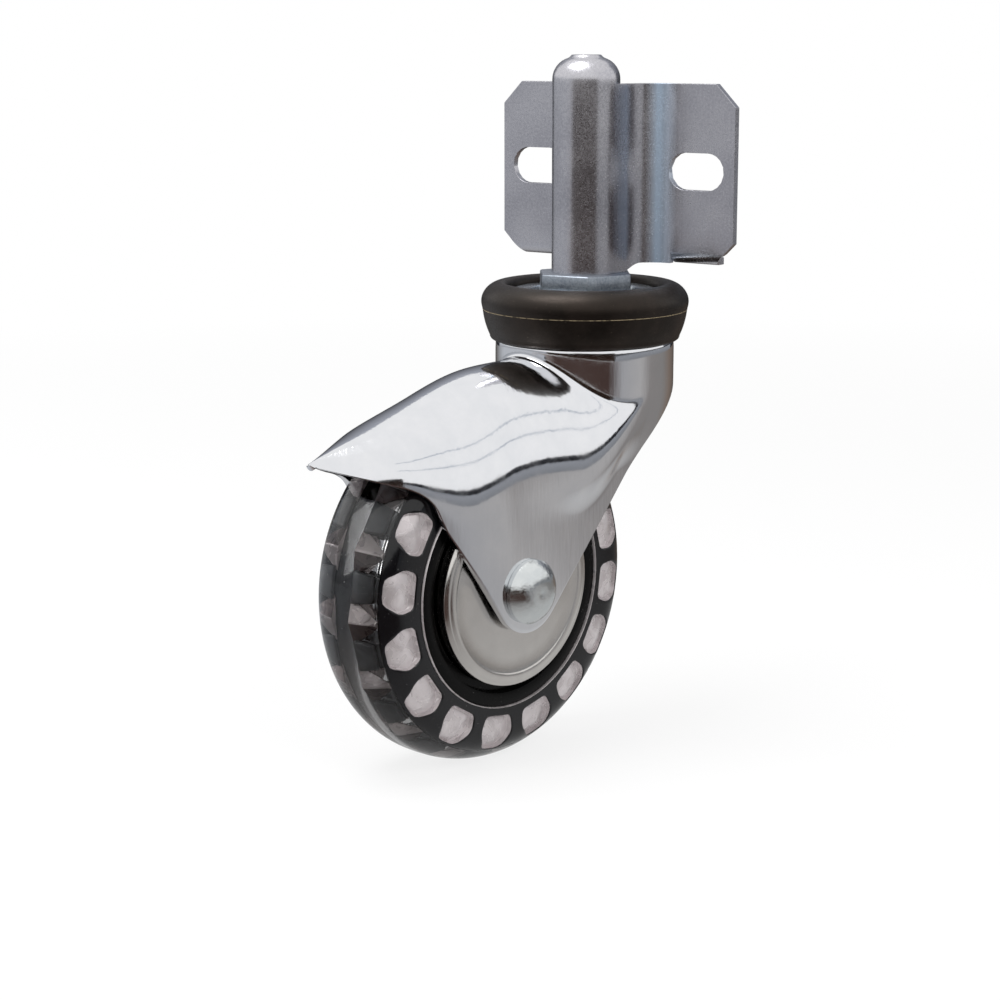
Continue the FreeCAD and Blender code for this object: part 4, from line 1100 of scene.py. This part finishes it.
# %% Floor
bm = bmesh.new()
bmesh.ops.create_grid(bm, x_segments=1, y_segments=1, size=30)
bmesh.ops.translate(bm, verts=bm.verts, vec=(0, 0, -0.1191))
floor_mesh = bpy.data.meshes.new("studio_floor")
bm.to_mesh(floor_mesh)
bm.free()
floor = bpy.data.objects.new("studio_floor", floor_mesh)
bpy.context.scene.collection.objects.link(floor)
pale, tree, shader = finish("pale_studio_floor", Roughness=0.9)
shader.inputs["Base Color"].default_value = colour("#F1F1F1")
light_path = add(tree, "LightPath")
seen = add(tree, "Math", {0: light_path.outputs["Is Camera Ray"], 1: light_path.outputs["Is Glossy Ray"]},
           operation="MAXIMUM")
seen = add(tree, "Math", {0: seen.outputs[0], 1: light_path.outputs["Is Transmission Ray"]},
           operation="MAXIMUM")
where = add(tree, "TexCoord").outputs["Object"]
away = add(tree, "VectorMath", {0: where}, operation="LENGTH")
whiter = add(tree, "MapRange", {"Value": away.outputs["Value"], 1: 0.2, 2: 0.7, 3: 0.8, 4: 1.0})
share = add(tree, "Math", {0: seen.outputs[0], 1: whiter.outputs[0]}, operation="MULTIPLY")
white = add(tree, "Emission", {"Color": (1, 1, 1, 1), "Strength": 1.0})
mixed = add(tree, "MixShader", {0: share.outputs[0], 1: shader.outputs[0], 2: white.outputs[0]})
tree.links.new(mixed.outputs[0], tree.nodes["Material Output"].inputs["Surface"])
floor_mesh.materials.append(pale)
floor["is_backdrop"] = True

# %% World
world = bpy.data.worlds.new("studio")
bpy.context.scene.world = world
world.use_nodes = True
tree = world.node_tree
light_path = add(tree, "LightPath")
seen = add(tree, "Math", {0: light_path.outputs["Is Camera Ray"], 1: light_path.outputs["Is Glossy Ray"]},
           operation="MAXIMUM")
seen = add(tree, "Math", {0: seen.outputs[0], 1: light_path.outputs["Is Transmission Ray"]},
           operation="MAXIMUM")
strength = add(tree, "MapRange", {"Value": seen.outputs[0], 1: 0.0, 2: 1.0, 3: 0.45, 4: 1.0})
tree.links.new(strength.outputs[0], tree.nodes["Background"].inputs["Strength"])
tree.nodes["Background"].inputs["Color"].default_value = (1, 1, 1, 1)


# %% Lamps
def softbox(name, place, aim, width, power):
    lamp = bpy.data.lights.new(name, "AREA")
    lamp.shape = "RECTANGLE"
    lamp.size = width
    lamp.size_y = width
    lamp.energy = power
    made = bpy.data.objects.new(name, lamp)
    made.location = place
    made.rotation_mode = "QUATERNION"
    made.rotation_quaternion = (Vector(aim) - Vector(place)).to_track_quat("-Z", "Y")
    bpy.context.scene.collection.objects.link(made)
    return made


middle = (0.0, -0.04, -0.06)
softbox("top_box", (-0.15, -0.25, 0.75), middle, 0.5, 5.0)
softbox("left_box", (-0.7, -0.35, 0.15), middle, 0.45, 3.0).visible_glossy = False
softbox("right_box", (0.6, -0.2, 0.35), middle, 0.4, 2.5).visible_glossy = False


# %% A card that only reflections see
def card(name, bm, low_code, high_code, low, high):
    """An even glow between two colours from one height to another, on a mesh that is already placed."""
    mesh = bpy.data.meshes.new(name)
    bm.to_mesh(mesh)
    bm.free()
    made = bpy.data.objects.new(name, mesh)
    bpy.context.scene.collection.objects.link(made)
    cloth, tree, shader = finish(name + "_cloth")
    where = add(tree, "TexCoord").outputs["Object"]
    height = add(tree, "SeparateXYZ", {0: where})
    rise = add(tree, "MapRange", {"Value": height.outputs["Z"], 1: low, 2: high, 3: 0.0, 4: 1.0})
    tint = add(tree, "Mix", {0: rise.outputs[0], 6: colour(low_code), 7: colour(high_code)}, data_type="RGBA")
    glow = add(tree, "Emission", {"Color": tint.outputs[2], "Strength": 1.0})
    tree.links.new(glow.outputs[0], tree.nodes["Material Output"].inputs["Surface"])
    cloth.cycles.emission_sampling = "NONE"
    mesh.materials.append(cloth)
    made.visible_camera = False
    made.visible_diffuse = False
    made.visible_shadow = False
    made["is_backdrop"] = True
    return tree, glow


# %% Curved curtains and bars
def curtain(name, start, end, radius, low, high, low_code, high_code):
    """An upright edge spun part of the way round the castor."""
    bm = bmesh.new()
    first = Matrix.Rotation(math.radians(start), 3, "Z") @ Vector((radius, 0, 0))
    edge = bm.edges.new([bm.verts.new(first + Vector((0, 0, z))) for z in (low, high)])
    bmesh.ops.spin(bm, geom=[edge] + list(edge.verts), cent=(0, 0, 0), axis=(0, 0, 1), dvec=(0, 0, 0),
                   angle=math.radians(end - start), steps=24, use_merge=False)
    bmesh.ops.translate(bm, verts=bm.verts, vec=(0, -0.03, 0))
    card(name, bm, low_code, high_code, low, high)


TABLE = -0.1186
curtain("brown_curtain", -104, -16, 0.95, TABLE, 0.1, "#33261F", "#1D1817")
curtain("back_curtain", 66, 162, 0.92, TABLE, 0.75, "#1B1C20", "#B0B3BC")
curtain("right_border", -16, 88, 0.9, -0.03, 0.02, "#161617", "#3A3B40")
curtain("right_skirt", -16, 88, 0.9, TABLE, -0.03, "#85878B", "#9A9DA3")
curtain("left_border", 162, 256, 0.9, TABLE, 0.1, "#A3A5AA", "#C9CCD1")
curtain("low_bar", -16, 88, 0.88, 0.285, 0.295, "#7F8FA6", "#7F8FA6")
curtain("high_bar", -16, 88, 0.86, 0.52, 0.535, "#8A99AE", "#8A99AE")

# %% The table cloth, with paler and darker sides
bm = bmesh.new()
bmesh.ops.create_circle(bm, cap_ends=True, segments=96, radius=0.9)
bmesh.ops.translate(bm, verts=bm.verts, vec=(0, 0, TABLE))
tree, glow = card("table_cloth", bm, "#8D8987", "#8D8987", TABLE, 0)
where = add(tree, "TexCoord").outputs["Object"]
about = add(tree, "TexGradient", {"Vector": where}, gradient_type="RADIAL")
sides = add(tree, "ValToRGB", {"Fac": about.outputs["Fac"]})
stops = [(0.0, "#C4C7CC"), (0.15, "#C0C3C8"), (0.2, "#A39A97"), (0.24, "#4A3B37"), (0.43, "#4A3B37"),
         (0.48, "#A8A8AA"), (0.55, "#B4B2B1"), (0.6, "#8D8987"), (0.67, "#8A8785"), (0.73, "#80736A"),
         (0.8, "#5A524E"), (0.85, "#3A3634"), (0.92, "#6A6866"), (1.0, "#C4C7CC")]
ramp = sides.color_ramp
while len(ramp.elements) < len(stops):
    ramp.elements.new(0.5)
for stop, (place, code) in zip(ramp.elements, stops):
    stop.position = place
for stop, (place, code) in zip(ramp.elements, stops):
    stop.color = colour(code)
away = add(tree, "VectorMath", {0: where}, operation="LENGTH")
under = add(tree, "MapRange", {"Value": away.outputs["Value"], 1: 0.13, 2: 0.18, 3: 0.0, 4: 1.0})
lit = add(tree, "Mix", {0: under.outputs[0], 6: colour("#C8C8C8"), 7: sides.outputs["Color"]}, data_type="RGBA")
tree.links.new(lit.outputs[2], glow.inputs["Color"])
print("table cloth", len(stops), "sides")

# %% [markdown]
# ## Camera
# The view is the photograph's: from the front right and a little above, through a long lens.

# %% Camera
camera_data = bpy.data.cameras.new("camera")
camera_data.lens = 80.33
camera_data.sensor_width = 36.0
camera_data.clip_start = 0.02
camera_data.clip_end = 20
camera = bpy.data.objects.new("camera", camera_data)
bpy.context.scene.collection.objects.link(camera)
right, up, back = Vector((0.8077, 0.5896, -0.0010)), Vector((-0.1216, 0.1683, 0.9782)), Vector((0.5769, -0.79, 0.2077))
camera.matrix_world = Matrix.Translation(Vector((262.65, -402.90, 29.62)) * MM) @ Matrix(
    ((right.x, up.x, back.x), (right.y, up.y, back.y), (right.z, up.z, back.z))).to_4x4()
bpy.context.scene.camera = camera
bpy.context.scene.view_settings.view_transform = "Standard"
print("camera", [round(v, 3) for v in camera.location])

# %% [markdown]
# ## The box round the dressed castor is found, leaving out the floor and the studio's cards.
# The dressed castor's box is written beside the solids' box, so that the two can be compared.

# %% Find the dressed castor's box
low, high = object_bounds()
